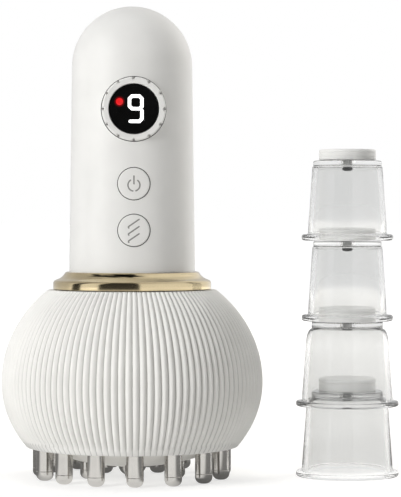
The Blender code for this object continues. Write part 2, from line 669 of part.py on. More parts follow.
def handle_sleeve(handle):
    """The barrel with its domed top: a tapered shell, open below, cut for all that shows through it."""
    dome = [(HANDLE_DOME_RADIUS * math.sin(lean), DOME_CENTRE + HANDLE_DOME_RADIUS * math.cos(lean))
            for lean in (math.pi / 2 * at / DOME_STEPS for at in range(DOME_STEPS + 1))]
    dome[0] = (0, HANDLE_TOP)
    barrel = [*dome, (HANDLE_FOOT_RADIUS, SLEEVE_FOOT)]
    sleeve = turned("handle_sleeve", barrel, ROUND_STEPS, handle, "white_plastic", wall=HANDLE_WALL)
    front = (math.pi / 2, 0, 0)
    deep = -BOARD_FRONT
    far = HANDLE_FOOT_RADIUS + OVERRUN
    for label, radius, height in (("bezel_hole", BEZEL_RADIUS + FIT, DISPLAY_HEIGHT),
                                  ("power_hole", BUTTON_RADIUS + FIT, POWER_BUTTON_HEIGHT),
                                  ("mode_hole", BUTTON_RADIUS + FIT, MODE_BUTTON_HEIGHT)):
        hole = rods_mesh(label, [((0, 0), radius, deep, far)], CAP_STEPS)
        boolean(sleeve, place(label, hole, handle, location=(0, 0, height), rotation=front))
    slot = box_mesh("port_slot", (PORT_WIDTH + 2 * FIT, 2 * (far - PORT_FRONT + PORT_LENGTH),
                                  PORT_HEIGHT + 2 * FIT))
    boolean(sleeve, place("port_slot", slot, handle, location=(0, far, PORT_MIDDLE)))
    return sleeve


def handle_foot(handle):
    """The foot that closes the barrel: a dock below for a cup's cap, and a spigot inside the sleeve."""
    spigot_top = SLEEVE_RIM + SPIGOT_HEIGHT
    hole = NOZZLE_RADIUS + FIT
    outline = [(SPIGOT_RADIUS, spigot_top), (SPIGOT_RADIUS, SLEEVE_RIM), (HANDLE_FOOT_RADIUS, SLEEVE_RIM),
               (HANDLE_FOOT_RADIUS, FOOT_BOTTOM + FOOT_CHAMFER),
               (HANDLE_FOOT_RADIUS - FOOT_CHAMFER, FOOT_BOTTOM), (DOCK_RADIUS, FOOT_BOTTOM),
               (DOCK_RADIUS, DOCK_CEILING), (hole, DOCK_CEILING), (hole, FOOT_INSIDE),
               (SPIGOT_BORE, FOOT_INSIDE), (SPIGOT_BORE, spigot_top)]
    turned("handle_foot", outline, ROUND_STEPS, handle, "black_plastic", closed=True)


def suction_nozzle(handle):
    """The air port in the dock's ceiling: a bored stub with a flange on the foot's floor."""
    flange_bottom = FOOT_INSIDE + FIT
    flange_top = flange_bottom + NOZZLE_FLANGE_HEIGHT
    outline = [(NOZZLE_RADIUS, DOCK_CEILING + NOZZLE_LENGTH), (NOZZLE_RADIUS, flange_top),
               (NOZZLE_RADIUS + NOZZLE_FLANGE, flange_top), (NOZZLE_RADIUS + NOZZLE_FLANGE, flange_bottom),
               (NOZZLE_RADIUS, flange_bottom), (NOZZLE_RADIUS, DOCK_CEILING),
               (NOZZLE_BORE, DOCK_CEILING), (NOZZLE_BORE, DOCK_CEILING + NOZZLE_LENGTH)]
    turned("suction_nozzle", outline, PIN_STEPS, handle, "steel", closed=True)


def chassis(handle):
    """The inner frame, drawn from the side: a back plate, two board rails and four shelves."""
    bottom = FOOT_INSIDE + FIT
    top = TOP_SHELF_HEIGHT + SHELF_THICKNESS
    outline = [(CHASSIS_FRONT, bottom), (CHASSIS_BACK, bottom)]
    for height, reach in ((PUMP_SHELF_HEIGHT, PUMP_SHELF_REACH), (MOTOR_SHELF_HEIGHT, SHELF_REACH),
                          (BATTERY_SHELF_HEIGHT, SHELF_REACH)):
        outline += [(CHASSIS_BACK, height), (reach, height), (reach, height + SHELF_THICKNESS),
                    (CHASSIS_BACK, height + SHELF_THICKNESS)]
    outline += [(CHASSIS_BACK, TOP_SHELF_HEIGHT), (SHELF_REACH, TOP_SHELF_HEIGHT), (SHELF_REACH, top),
                (CHASSIS_FRONT, top)]
    rail = CHASSIS_FRONT - CHASSIS_RAIL
    inset = 2 * RAIL_HEIGHT
    for height in (BOARD_TOP - inset, BOARD_BOTTOM + inset - RAIL_HEIGHT):
        outline += [(CHASSIS_FRONT, height + RAIL_HEIGHT), (rail, height + RAIL_HEIGHT), (rail, height),
                    (CHASSIS_FRONT, height)]
    upright = (math.pi / 2, 0, math.pi / 2)
    frame = flat_outline("chassis", [outline], CHASSIS_WIDTH, handle, "black_plastic", rotation=upright)
    holes = [((PUMP_INLET_X, DRIVE_Y), PUMP_INLET_RADIUS + FIT, PUMP_SHELF_HEIGHT - OVERRUN,
              PUMP_SHELF_HEIGHT + SHELF_THICKNESS + FIT),
             ((0, DRIVE_Y), MOTOR_SHAFT_RADIUS + FIT, MOTOR_SHELF_HEIGHT - CRANK_GAP / 2, MOTOR_BOTTOM)]
    boolean(frame, place("shelf_holes", rods_mesh("shelf_holes", holes, SMALL_STEPS), handle))


def boards(handle):
    """The main board with a switch behind each button."""
    board = box_mesh("main_board", (BOARD_WIDTH, BOARD_THICKNESS, BOARD_TOP - BOARD_BOTTOM))
    place("main_board", board, handle, finish="board_green",
          location=(0, BOARD_BACK - BOARD_THICKNESS / 2, (BOARD_BOTTOM + BOARD_TOP) / 2))
    back = BOARD_FRONT - FIT
    for label, height in (("power_switch", POWER_BUTTON_HEIGHT), ("mode_switch", MODE_BUTTON_HEIGHT)):
        body = place(label, box_mesh(label, (SWITCH_WIDTH, SWITCH_WIDTH, SWITCH_DEPTH)), handle,
                     location=(0, back - SWITCH_DEPTH / 2, height), rotation=(math.pi / 2, 0, 0),
                     finish="black_plastic")
        tip = [((0, 0), SWITCH_PLUNGER_RADIUS, 0, SWITCH_DEPTH / 2 + SWITCH_PLUNGER)]
        plunger = place(label + "_plunger", rods_mesh(label + "_plunger", tip, SMALL_STEPS), body)
        boolean(body, plunger, 'UNION')


def display(handle):
    """The round display: a notched bezel, a dark window and the module behind it."""
    surface = sleeve_radius(DISPLAY_HEIGHT)
    face = surface + BEZEL_PROUD
    back = chord(surface - HANDLE_WALL, BEZEL_RADIUS)
    front = {"location": (0, 0, DISPLAY_HEIGHT), "rotation": (math.pi / 2, 0, 0)}
    inner = BEZEL_WINDOW + FIT
    ring = [(BEZEL_RADIUS - BEZEL_CHAMFER, face), (BEZEL_RADIUS, face - BEZEL_CHAMFER),
            (BEZEL_RADIUS, back), (inner, back), (inner, face)]
    bezel = turned("display_bezel", ring, ROUND_STEPS, handle, "white_plastic", closed=True, **front)
    notches = [(spot, BEZEL_NOTCH_RADIUS, face - BEZEL_NOTCH_DEPTH, face + OVERRUN)
               for spot in ring_places(BEZEL_RADIUS, BEZEL_NOTCHES)]
    cutter = rods_mesh("bezel_notches", notches, NOTCH_STEPS)
    boolean(bezel, place("bezel_notches", cutter, handle, **front))
    lens_face = face - LENS_RECESS
    lens_back = lens_face - LENS_THICKNESS
    window = [(0, lens_face), (BEZEL_WINDOW, lens_face), (BEZEL_WINDOW, lens_back), (0, lens_back)]
    turned("display_lens", window, ROUND_STEPS, handle, "black_glass", **front)
    module_face = lens_back - FIT
    module_back = -BOARD_FRONT + FIT
    block = [(0, module_face), (BEZEL_WINDOW, module_face), (BEZEL_WINDOW, module_back), (0, module_back)]
    turned("display_module", block, CAP_STEPS, handle, "black_plastic", **front)


def button(name, height, handle):
    """A round button that follows the barrel's curve; it slides along Y on its own axis."""
    surface = sleeve_radius(height)
    flange_back = button_back(height)
    flange_front = flange_back + BUTTON_FLANGE_THICKNESS
    stem_end = SWITCH_TIP + FIT + BUTTON_TRAVEL
    flange = BUTTON_RADIUS + BUTTON_FLANGE - FIT
    outline = [(0, surface + OVERRUN), (BUTTON_RADIUS, surface + OVERRUN), (BUTTON_RADIUS, flange_front),
               (flange, flange_front), (flange, flange_back), (BUTTON_STEM_RADIUS, flange_back),
               (BUTTON_STEM_RADIUS, stem_end), (0, stem_end)]
    axis = axis_empty(name + "_axis", (0, 0, height), handle)
    made = turned(name, outline, CAP_STEPS, axis, "white_plastic", rotation=(math.pi / 2, 0, 0))
    tall = BUTTON_RADIUS + BUTTON_FLANGE + OVERRUN
    former = rods_mesh(name + "_former", [((0, 0), surface + BUTTON_PROUD, -tall, tall)], 2 * ROUND_STEPS)
    boolean(made, place(name + "_former", former, axis), 'INTERSECT')


def pump(handle):
    """The suction pump: a rounded body on its shelf, an eccentric crank and the motor over it."""
    body = place("pump_body", box_mesh("pump_body", (PUMP_WIDTH, PUMP_DEPTH, PUMP_HEIGHT), PUMP_ROUNDING),
                 handle, location=(0, DRIVE_Y, PUMP_BOTTOM + PUMP_HEIGHT / 2), finish="black_plastic")
    stub = [((PUMP_INLET_X, 0), PUMP_INLET_RADIUS, -PUMP_HEIGHT / 2 - PUMP_INLET_LENGTH, 0)]
    boolean(body, place("pump_inlet", rods_mesh("pump_inlet", stub, PIN_STEPS), body), 'UNION')
    rim = arc(CRANK_RADIUS, 0, math.tau, SMALL_STEPS, centre=(CRANK_THROW, 0))[:-1]
    bore = arc(MOTOR_SHAFT_RADIUS + FIT, 0, math.tau, PIN_STEPS)[:-1]
    flat_outline("pump_crank", [rim, bore], CRANK_HEIGHT, handle, "steel",
                 location=(0, DRIVE_Y, CRANK_BOTTOM + CRANK_HEIGHT / 2))
    top = MOTOR_BOTTOM + MOTOR_HEIGHT
    can = [(0, top), (MOTOR_RADIUS, top), (MOTOR_RADIUS, MOTOR_BOTTOM), (MOTOR_SHAFT_RADIUS, MOTOR_BOTTOM),
           (MOTOR_SHAFT_RADIUS, CRANK_BOTTOM), (0, CRANK_BOTTOM)]
    turned("pump_motor", can, SMALL_STEPS, handle, "steel", location=(0, DRIVE_Y, 0))


def hose(handle):
    """The air hose: one smooth bend from the nozzle up to the pump's inlet."""
    start = DOCK_CEILING + NOZZLE_LENGTH + FIT
    end = PUMP_BOTTOM - PUMP_INLET_LENGTH - FIT
    curve = bpy.data.curves.new("air_hose", 'CURVE')
    curve.dimensions = '3D'
    curve.bevel_depth = HOSE_RADIUS
    curve.bevel_resolution = 2
    curve.use_fill_caps = True
    spline = curve.splines.new('POLY')
    bends = 7
    spline.points.add(bends)
    for at, point in enumerate(spline.points):
        turn_share = min(max((at - 1) / (bends - 2), 0), 1)
        across_share = (1 - math.cos(math.pi * turn_share)) / 2
        height = start + (end - start) * at / bends
        point.co = (PUMP_INLET_X * across_share, DRIVE_Y * across_share, height, 1)
    drawn = bpy.data.objects.new("air_hose_drawn", curve)
    CUTTERS.objects.link(drawn)
    mesh = settled_mesh(drawn, "air_hose")
    bm = bmesh.new()
    bm.from_mesh(mesh)
    bmesh.ops.remove_doubles(bm, verts=bm.verts, dist=MERGE)
    bm.to_mesh(mesh)
    bm.free()
    smooth(mesh)
    place("air_hose", mesh, handle, finish="hose_rubber")


def power_and_air(handle):
    """The battery on its shelf, the release valve on the foot's floor and the charging socket."""
    top = BATTERY_BOTTOM + BATTERY_HEIGHT
    cell = [(0, top + BATTERY_TIP), (BATTERY_TIP_RADIUS, top + BATTERY_TIP), (BATTERY_TIP_RADIUS, top),
            (BATTERY_RADIUS, top), (BATTERY_RADIUS, BATTERY_BOTTOM), (0, BATTERY_BOTTOM)]
    turned("battery", cell, SMALL_STEPS, handle, "cell_blue", location=(0, DRIVE_Y, 0))
    place("release_valve", box_mesh("release_valve", (VALVE_WIDTH, VALVE_WIDTH, VALVE_HEIGHT), PUMP_ROUNDING),
          handle, location=(VALVE_X, 0, FOOT_INSIDE + FIT + VALVE_HEIGHT / 2), finish="dark_metal")
    port_y = PORT_FRONT - PORT_LENGTH / 2
    port = place("charging_socket", box_mesh("charging_socket", (PORT_WIDTH, PORT_LENGTH, PORT_HEIGHT)),
                 handle, location=(0, port_y, PORT_MIDDLE), finish="steel")
    mouth = box_mesh("port_mouth", (PORT_WIDTH - 2 * PORT_WALL, PORT_LENGTH, PORT_HEIGHT - 2 * PORT_WALL))
    boolean(port, place("port_mouth", mouth, port, location=(0, PORT_LENGTH / 3, 0)))


Cup = namedtuple("Cup", "rim_radius rim_thickness rim_bore foot_radius shoulder_radius shoulder_height "
                        "collar_radius collar_foot top cap_radius cap_height bulb_height round_steps")
LARGE = Cup(LARGE_RIM_RADIUS, LARGE_RIM_THICKNESS, LARGE_RIM_BORE, LARGE_FOOT_RADIUS,
            LARGE_SHOULDER_RADIUS, LARGE_SHOULDER_HEIGHT, LARGE_COLLAR_RADIUS, LARGE_COLLAR_FOOT,
            LARGE_TOP, LARGE_CAP_RADIUS, LARGE_CAP_HEIGHT, LARGE_BULB_HEIGHT, 3)
SMALL = Cup(SMALL_RIM_RADIUS, SMALL_RIM_THICKNESS, SMALL_RIM_BORE, SMALL_FOOT_RADIUS,
            SMALL_SHOULDER_RADIUS, SMALL_SHOULDER_HEIGHT, SMALL_COLLAR_RADIUS, SMALL_COLLAR_FOOT,
            SMALL_TOP, SMALL_CAP_RADIUS, SMALL_CAP_HEIGHT, SMALL_BULB_HEIGHT, 1)


def cup_mesh(name, cup):
    """A clear cup: flared rim, tapered wall, rounded shoulder and a collar round the valve."""
    bore = VALVE_BULB_RADIUS + FIT
    rounding = cup.rim_thickness / 4
    width = cup.shoulder_radius - cup.collar_radius
    rise = cup.collar_foot - cup.shoulder_height
    leans = [math.pi / 2 * at / cup.round_steps for at in range(cup.round_steps + 1)]
    shoulder = [(cup.collar_radius + width * math.sin(lean), cup.shoulder_height + rise * math.cos(lean))
                for lean in leans]
    outside = [(bore, cup.top), (cup.collar_radius, cup.top), *shoulder,
               (cup.foot_radius, cup.rim_thickness), (cup.rim_radius - rounding, cup.rim_thickness),
               (cup.rim_radius, cup.rim_thickness - rounding), (cup.rim_radius, rounding),
               (cup.rim_radius - rounding, 0), (cup.rim_bore, 0)]
    ceiling = cup.top - CUP_WALL
    inside = [(cup.foot_radius - CUP_WALL - FIT, cup.rim_thickness),
              (cup.shoulder_radius - CUP_WALL, cup.shoulder_height),
              (cup.collar_radius - CUP_WALL, ceiling), (bore, ceiling)]
    return turned_mesh(name, outside + inside, CUP_STEPS, closed=True)


def cap_mesh(name, cup):
    """The cap and its stem in one piece: a grooved knob over the cup, a stem through its bore."""
    seat = cup.top + FIT
    top = seat + cup.cap_height
    groove = top - cup.cap_height / 3
    stem_end = cup.top - CUP_WALL
    outline = [(0, top), (cup.cap_radius - CAP_CHAMFER, top), (cup.cap_radius, top - CAP_CHAMFER),
               (cup.cap_radius, groove + CAP_GROOVE), (cup.cap_radius - CAP_GROOVE, groove),
               (cup.cap_radius, groove - CAP_GROOVE), (cup.cap_radius, seat), (STEM_RADIUS, seat),
               (STEM_RADIUS, stem_end), (0, stem_end)]
    return turned_mesh(name, outline, CAP_STEPS)


def valve_mesh(name, cup):
    """The rubber bulb on the stem's end, just inside the cup."""
    top = cup.top - CUP_WALL - FIT
    shares = [(0.8, 0), (1, 0.3), (1, 0.6), (0.6, 1)]
    outline = [(0, top), *((VALVE_BULB_RADIUS * out, top - cup.bulb_height * down) for out, down in shares),
               (0, top - cup.bulb_height)]
    return turned_mesh(name, outline, PIN_STEPS)


def height_where(cup, radius):
    """How far up a cup's outside has narrowed to a radius: its top, for one within the collar."""
    if radius <= cup.collar_radius:
        return cup.top
    if radius < cup.shoulder_radius:
        share = (radius - cup.collar_radius) / (cup.shoulder_radius - cup.collar_radius)
        return cup.shoulder_height + (cup.collar_foot - cup.shoulder_height) * chord(1, share)
    share = (cup.foot_radius - radius) / (cup.foot_radius - cup.shoulder_radius)
    return cup.rim_thickness + (cup.shoulder_height - cup.rim_thickness) * share


def nested_pitch(lower, upper):
    """How far a cup's rim stands over the rim of the cup that it is pushed onto."""
    at_mouth = height_where(lower, upper.rim_bore - FIT)
    over_rim = height_where(lower, upper.foot_radius - CUP_WALL - 2 * FIT) - upper.rim_thickness
    return max(at_mouth, over_rim) + FIT


def cup_stack(stack):
    """Two large cups and two small ones, each nested on the one below."""
    order = [("cup_1", LARGE), ("cup_2", LARGE), ("cup_3", SMALL), ("cup_4", SMALL)]
    height = 0
    below = None
    for label, cup in order:
        if below:
            height += nested_pitch(below, cup)
        axis = axis_empty(label + "_axis", (0, 0, height), stack)
        place(label + "_shell", cup_mesh(label + "_shell", cup), axis, finish="clear_plastic")
        place(label + "_cap", cap_mesh(label + "_cap", cup), axis, finish="white_plastic")
        place(label + "_valve_bulb", valve_mesh(label + "_valve_bulb", cup), axis, finish="black_rubber")
        below = cup


def build():
    """Builds the head, the handle that lifts out of it, and the stack of cups."""
    device = axis_empty("device_axis", (DEVICE_X, 0, 0))
    handle = axis_empty("handle_axis", (0, 0, 0), device)
    stack = axis_empty("stack_axis", (STACK_X, 0, 0))
    head_shell(device)
    pin_plate(device)
    contact_pins(device)
    head_drive(device)
    head_socket(device)
    gold_ring(device)
    handle_sleeve(handle)
    handle_foot(handle)
    suction_nozzle(handle)
    chassis(handle)
    boards(handle)
    display(handle)
    button("power_button", POWER_BUTTON_HEIGHT, handle)
    button("mode_button", MODE_BUTTON_HEIGHT, handle)
    pump(handle)
    hose(handle)
    power_and_air(handle)
    cup_stack(stack)


build()
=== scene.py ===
import functools
import math
from types import SimpleNamespace

import bmesh
import bpy
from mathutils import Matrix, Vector


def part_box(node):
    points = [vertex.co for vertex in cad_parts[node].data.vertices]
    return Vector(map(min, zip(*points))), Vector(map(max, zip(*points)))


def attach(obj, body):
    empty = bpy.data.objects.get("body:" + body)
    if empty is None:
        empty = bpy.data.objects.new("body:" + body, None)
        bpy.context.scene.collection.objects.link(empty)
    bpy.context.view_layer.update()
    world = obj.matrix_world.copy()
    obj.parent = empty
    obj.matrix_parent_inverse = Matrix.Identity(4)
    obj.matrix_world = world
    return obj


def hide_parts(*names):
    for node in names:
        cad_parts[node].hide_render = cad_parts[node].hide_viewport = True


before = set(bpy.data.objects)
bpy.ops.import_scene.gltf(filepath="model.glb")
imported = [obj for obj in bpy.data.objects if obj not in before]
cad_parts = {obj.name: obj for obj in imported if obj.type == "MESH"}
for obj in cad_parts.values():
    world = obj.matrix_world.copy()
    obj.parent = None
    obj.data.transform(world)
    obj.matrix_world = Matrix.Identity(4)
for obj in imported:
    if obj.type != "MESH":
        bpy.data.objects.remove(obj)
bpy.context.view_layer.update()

# Mesh fineness
SHARP_ANGLE = math.radians(38)
ON_AXIS = 1e-6
ARC_STEPS = 24
BULB_COLUMNS_PER_RIB = 10
BULB_ROWS = 52
BULB_INSIDE_ROWS = 12
PLATE_COLUMNS = 180
PLATE_ROWS = 20
BARREL_COLUMNS = 240
BARREL_ROWS = 12
HOLE_COLUMNS = 96
DRILL_COLUMNS = 120
BEZEL_COLUMNS = 720
BEZEL_ROWS = 14
BEZEL_ROUND_ROWS = 5
LENS_COLUMNS = 160
LENS_ROWS = 10
BUTTON_COLUMNS = 96
BUTTON_ROWS = 10
CUP_COLUMNS = 144
CAP_COLUMNS = 96
SMALL_COLUMNS = 72
VALVE_COLUMNS = 48
DIMPLE_COLUMNS = 24

# The gap that the CAD leaves between two parts
FIT = 0.0003

# Bulb
RIB_COUNT = 116
RIB_DEPTH = 0.00085
RIB_SOFTNESS = 0.09
RIB_FADE = 0.0009
BULB_EQUATOR = 0.0384
BULB_RISE = 0.0479
BULB_DROP = 0.0440
BULB_WALL = 0.0024
NECK_DROP = 0.0004
NECK_INSET = 0.0006
NECK_TOLERANCE = 0.0001
MOUTH_OVERLAP = 0.0024
LIP_BAND = 0.0024
LIP_WIDTH = 0.0008
LIP_RISE = 0.0002
LIP_ROUND = 0.0003
LIP_INNER_ROUND = 0.0002
LIP_DEPTH = 0.0062

# Pin plate and pins
PLATE_BULGE = 0.0094
PLATE_WALL = 0.0044
PLATE_EDGE = 0.0002
PLATE_EDGE_RISE = 0.0003
PIN_FLAT = 0.0009
PIN_LINE = 0.00012
PIN_LINE_RISE = 0.0002

# Gold ring; the flare's points are shares of its width outwards and of its height downwards
RING_BAND = 0.0029
RING_LIP = 0.0011
RING_SEAT = 0.0015
RING_FLARE = [(0.13, 0.26), (0.28, 0.48), (0.50, 0.67), (0.86, 0.84)]
RING_ROUND = 0.0007
RING_FLARE_ROUND = 0.0006
RING_FOOT_ROUND = 0.0002
RING_BORE_ROUND = 0.0003

# Barrel; rows round a button's hole are (outwards, inwards), and the inlet's rounding a share of its sides
DOME_RADIUS = 0.0240
BARREL_WALL = 0.0020
FOOT_ROUND = 0.0003
DRILL_SPAN = (-0.004, 0.030)
HOLE_EDGE = [(0, 0.0008), (0, 0.0001), (0.00006, -0.00002), (0.000132, -0.00004), (0.00022, 0.00002),
             (0.00022, 0.0008)]
SOCKET_HOLE_DEPTH = 0.02
SOCKET_HOLE_ROUND = 0.3
SOCKET_HOLE_STEPS = 6

# Display bezel and window, and the seals round the controls
BEZEL_CHAMFER = 0.0002
BEZEL_INNER_BAND = 0.0006
BEZEL_BAND_ROUND = 0.0007
BEZEL_ROUND_END = 75
BEZEL_SIDE = 0.0020
NOTCH_RADIUS = 0.00080
NOTCH_DEPTH = 0.00070
NOTCH_INSET = 0.00035
NOTCH_FLOOR = 0.0009
NOTCH_TURNS = 12
# Dark dots in the bottoms of the bezel's notches: painted shade
DIMPLE_RADIUS = 0.00042
DIMPLE_RISE = 0.00050
DIMPLE_SHOULDER_OUT = 0.7
DIMPLE_SHOULDER_UP = 0.8
GASKET_DROP = 0.00022
GASKET_DEPTH = 0.0012
GASKET_SLIP = 0.00003
LENS_CROWN = 0.00005
LENS_CHAMFER = 0.00005

# Digit and dot; the joints are shares of the cut corner, the dot's rows are (share of its radius, rise)
DIGIT_HALF_WIDTH = 0.00242
DIGIT_HALF_HEIGHT = 0.00490
DIGIT_CORNER = 0.00100
DIGIT_JOINT = 0.9
DIGIT_GAP = 0.62
DIGIT_TAIL = 0.2
DIGIT_STROKE = 0.00132
DIGIT_X = 0.00070
DIGIT_Z = 0.00005
DIGIT_LIFT = 0.00003
DOT_X = -0.0056
DOT_Z = 0.0028
DOT_RADIUS = 0.00140
DOT_CROWN = [(0, 0.00006), (0.5, 0.00005), (0.9, 0.00003), (1, 0), (1, -0.00006), (0, -0.00006)]

# Buttons and their signs; a sign's places are (x, z) from the button's middle
BUTTON_RADIUS = 0.0062
BUTTON_DISH = 0.00012
BUTTON_FLAT_ROWS = 8
BUTTON_ROUND = 0.00035
BUTTON_LEANS = (0, 22, 45, 67, 90)
BUTTON_SKIRT = 0.0022
BUTTON_STEP = 0.0004
BUTTON_STEM = 0.0018
BUTTON_STEM_START = 0.55
STROKE_DEPTH = 0.00006
STROKE_TIP = 0.42
STROKE_TIP_WIDTH = 0.22
STROKE_MITRE = 0.5
ICON_STROKE = 0.00056
ICON_LIFT = 0.00002
POWER_BAR = (-0.0001, 0.0030)
POWER_BAR_STEPS = 3
POWER_RADIUS = 0.00233
POWER_CENTRE = -0.00057
POWER_ARCS = ((124, 260), (52, -72))
POWER_ARC_STEPS = 18
MODE_RISES = (0.0015, -0.0013, -0.0041)
MODE_START = (-0.0021, 0)
MODE_END = (0.0020, 0.0028)
MODE_STEPS = 8
MODE_HOOK = [(-0.00195, -0.00065), (-0.00215, -0.00034)]
MODE_TAPER = (0.6, 1)

# Cups
LARGE_CUPS = (1, 2)
LARGE_CUP = {"thick": 0.0020, "flare": 0.0023, "bore": 0.0017, "taper": 0.0016, "shoulder_z": 0.0240,
             "collar": 0.0023, "collar_z": 0.0309, "rows": 14}
SMALL_CUP = {"thick": 0.0025, "flare": 0.0025, "bore": 0.0026, "taper": 0.0018, "shoulder_z": 0.0293,
             "collar": 0.0004, "collar_z": 0.0297, "rows": 4}
CUP_WALL = 0.0018
VALVE_HOLE = 0.0024
VALVE_HOLE_ROUND = 0.0002
COLLAR_ROUND = 0.0006
WALL_FOOT_ROUND = 0.0006
WALL_INSIDE_ROUND = 0.0005
VAULT_ROUND = 0.0008
RIM_ROUND_SHARE = 0.45

# Caps and valves; the crowns are (share of the radius, share of the dish)
CAP_EDGE = 0.0008
CAP_FOOT_ROUND = 0.0003
CAP_LINE = 0.0002
CAP_DISH = 0.0005
LARGE_CROWN = [(0, 0), (0.6, 0)]
SMALL_CROWN = [(0, 1), (0.35, 0.85), (0.62, 0.35)]
LARGE_LINES = (1 / 3,)
SMALL_LINES = (1 / 3, 0.72)
STEM_RADIUS = 0.0018
VALVE_SHOULDER = [(0.8, 0), (1, 0.22), (1, 0.55)]
VALVE_TIP = 0.45
VALVE_LEANS = (22, 45, 68)

# Photograph and camera
CAMERA_PLACE = Vector((-0.0524, -0.92, 0.104))
CAMERA_AIM = Vector((-0.0001, 0, 0.0914))
CAMERA_LENS = 166.6
CAMERA_SENSOR = 36
CAMERA_NEAR = 0.05
CAMERA_FAR = 50

# Studio: gaps are (azimuth, half width, softness, level), cards (azimuth, lift, half width and height, level),
# and the ceiling, the floor's glow and the gaps' range (start, end, level at the start, level at the end)
STUDIO_MIDDLE = Vector((0, 0, 0.09))
FILL_STRENGTH = 0.06
ROOM_GAPS = [(-21, 30, 2, 0.05), (-90, 8, 2, 0.05), (-150, 46, 10, 0.62)]
ROOM_CARDS = [(-15.5, 38, 23, 4.5, 0.03), (33, 38, 27, 6, 1.25)]
CARD_SOFTNESS = 0.22
CEILING = (0.35, 0.80, 1, 0.80)
FLOOR_SIZE = 60
FLOOR_ROUGHNESS = 0.9
FLOOR_BOUNCE = 0.55
FLOOR_COLOUR = (0.50, 0.496, 0.485)
FLOOR_GLOW = (0.25, 1.6, 0.62, 1.0)
FLOOR_GAPS = [(158, 132, 14, 0.22)]
GAP_RANGE = (0.25, 0.70, 0, 1)

# Lamps: name, azimuth, elevation, distance, width, height, power and colour
WARM_LAMP = (1, 0.976, 0.93)
LAMPS = [
    ("key", -54, 22, 1.5, 0.6, 0.8, 16.0),
    ("near", 0, 22, 1.5, 0.6, 0.8, 0.9, WARM_LAMP),
    ("rim", 122, 26, 1.6, 0.6, 0.9, 16.5, WARM_LAMP),
    ("back", -165, 26, 1.6, 0.6, 0.9, 7.0, WARM_LAMP),
    ("top", 0, 85, 1.6, 0.9, 0.9, 7.6),
]

# Colours
WHITE = (1, 1, 1, 1)
WHITE_PLASTIC = (0.80, 0.795, 0.775)
BULB_PLASTIC = (0.86, 0.853, 0.825)
PLATE_PLASTIC = (0.86, 0.845, 0.80)
CAP_PLASTIC = (0.80, 0.80, 0.785)
DARK_PLASTIC = (0.022, 0.022, 0.024)
RUBBER = (0.012, 0.012, 0.013)
HOSE = (0.55, 0.54, 0.51)
CELL_BLUE = (0.05, 0.22, 0.42)
# Grey of the keys' signs, also used as painted shade in the bezel's notches
SIGN_GREY_AND_NOTCH_SHADE = (0.26, 0.255, 0.245)
GOLD = (0.66, 0.55, 0.35)
STEEL = (0.62, 0.605, 0.58)
MOTOR_STEEL = (0.52, 0.52, 0.53)
MAGNET = (0.30, 0.30, 0.31)
COPPER = (0.72, 0.36, 0.20)
CLEAR_TINT = (0.81, 0.813, 0.81)
CLEAR_SHADOW = (0.86, 0.86, 0.86)
# Near-clear tint in a cup's rim: painted highlight
RIM_PAINTED_HIGHLIGHT = (0.97, 0.97, 0.97)
GLASS_DARK = (0.0008, 0.0008, 0.0008)
GLASS_PALE = (0.0016, 0.0016, 0.0016)
GLOW_RED = (0.20, 0.001, 0.002)
DIGIT_WHITE = (0.95, 0.95, 0.95)
DIGIT_EDGE = (0.88, 0.9, 0.92)
DOT_RED = (0.62, 0.003, 0.006)
DOT_EDGE = (0.48, 0.008, 0.010)
BOARD_GREEN = (0.010, 0.12, 0.045)
BOARD_PALE_GREEN = (0.012, 0.15, 0.055)
TRACK_GREEN = (0.05, 0.26, 0.12)
# Painted shade: the bulb's colour is multiplied by this at the bottom of its grooves
GROOVE_PAINTED_SHADE = (0.56, 0.56, 0.5544)

# Finishes
# How far the bulb's painted groove shade reaches up the rib wave, from 0 in the groove to 1 on the crest
GROOVE_SHADE_REACH = 0.40
CLOUD_START = 0.3
CLOUD_END = 0.7
CLOUD_SIZE = 0.012
GLOSS_SIZE = 0.004
GLOSS_LEAST = 0.9
GLOSS_MOST = 1.12
SMUDGE_SIZE = 0.005
METAL_GLOSS_LEAST = 0.75
METAL_GLOSS_MOST = 1.25
METAL_LINE_DEPTH = 0.0000015
METAL_SPREAD = 0.03
CLEAR_SPREAD = 0.04
# Heights over a cup's rim top where its painted highlight fades out
RIM_HIGHLIGHT_FADE_START = 0.0002
RIM_HIGHLIGHT_FADE = 0.0010
GLOW_REACH = 1.6


# Places read from the frame

@functools.cache
def box(node):
    """A CAD node's lowest and highest corners."""
    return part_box(node)


def low(node):
    return box(node)[0]


def high(node):
    return box(node)[1]


def middle(node):
    return (low(node) + high(node)) / 2


def span(node):
    """The heights of a node's foot and top."""
    return low(node).z, high(node).z


def foot_of(node):
    """The floor's place under a node's middle."""
    return Vector((middle(node).x, middle(node).y, 0))


def reach(node):
    """A round node's radius, read across X."""
    return (high(node).x - low(node).x) / 2


DEVICE = foot_of("gold_ring")
STACK = foot_of("cup_1_shell")
DISPLAY_Z = middle("display_lens").z
TO_FRONT = (CAMERA_PLACE - middle("gold_ring")).normalized()
CONTROL_HOLES = {"display_bezel": reach("display_bezel"), "power_button": BUTTON_RADIUS,
                 "mode_button": BUTTON_RADIUS}


# Meshes

def chord(radius, offset):
    """Half the chord of a circle at a distance from its middle."""
    return math.sqrt(max(radius * radius - offset * offset, 0))


def mixed(start, end, share):
    return start + (end - start) * share


def arc(radius, start, end, steps, centre=(0, 0)):
    """Points along an arc, its ends included, from angles in degrees."""
    turns = [math.radians(mixed(start, end, at / steps)) for at in range(steps + 1)]
    return [(centre[0] + radius * math.cos(turn), centre[1] + radius * math.sin(turn)) for turn in turns]


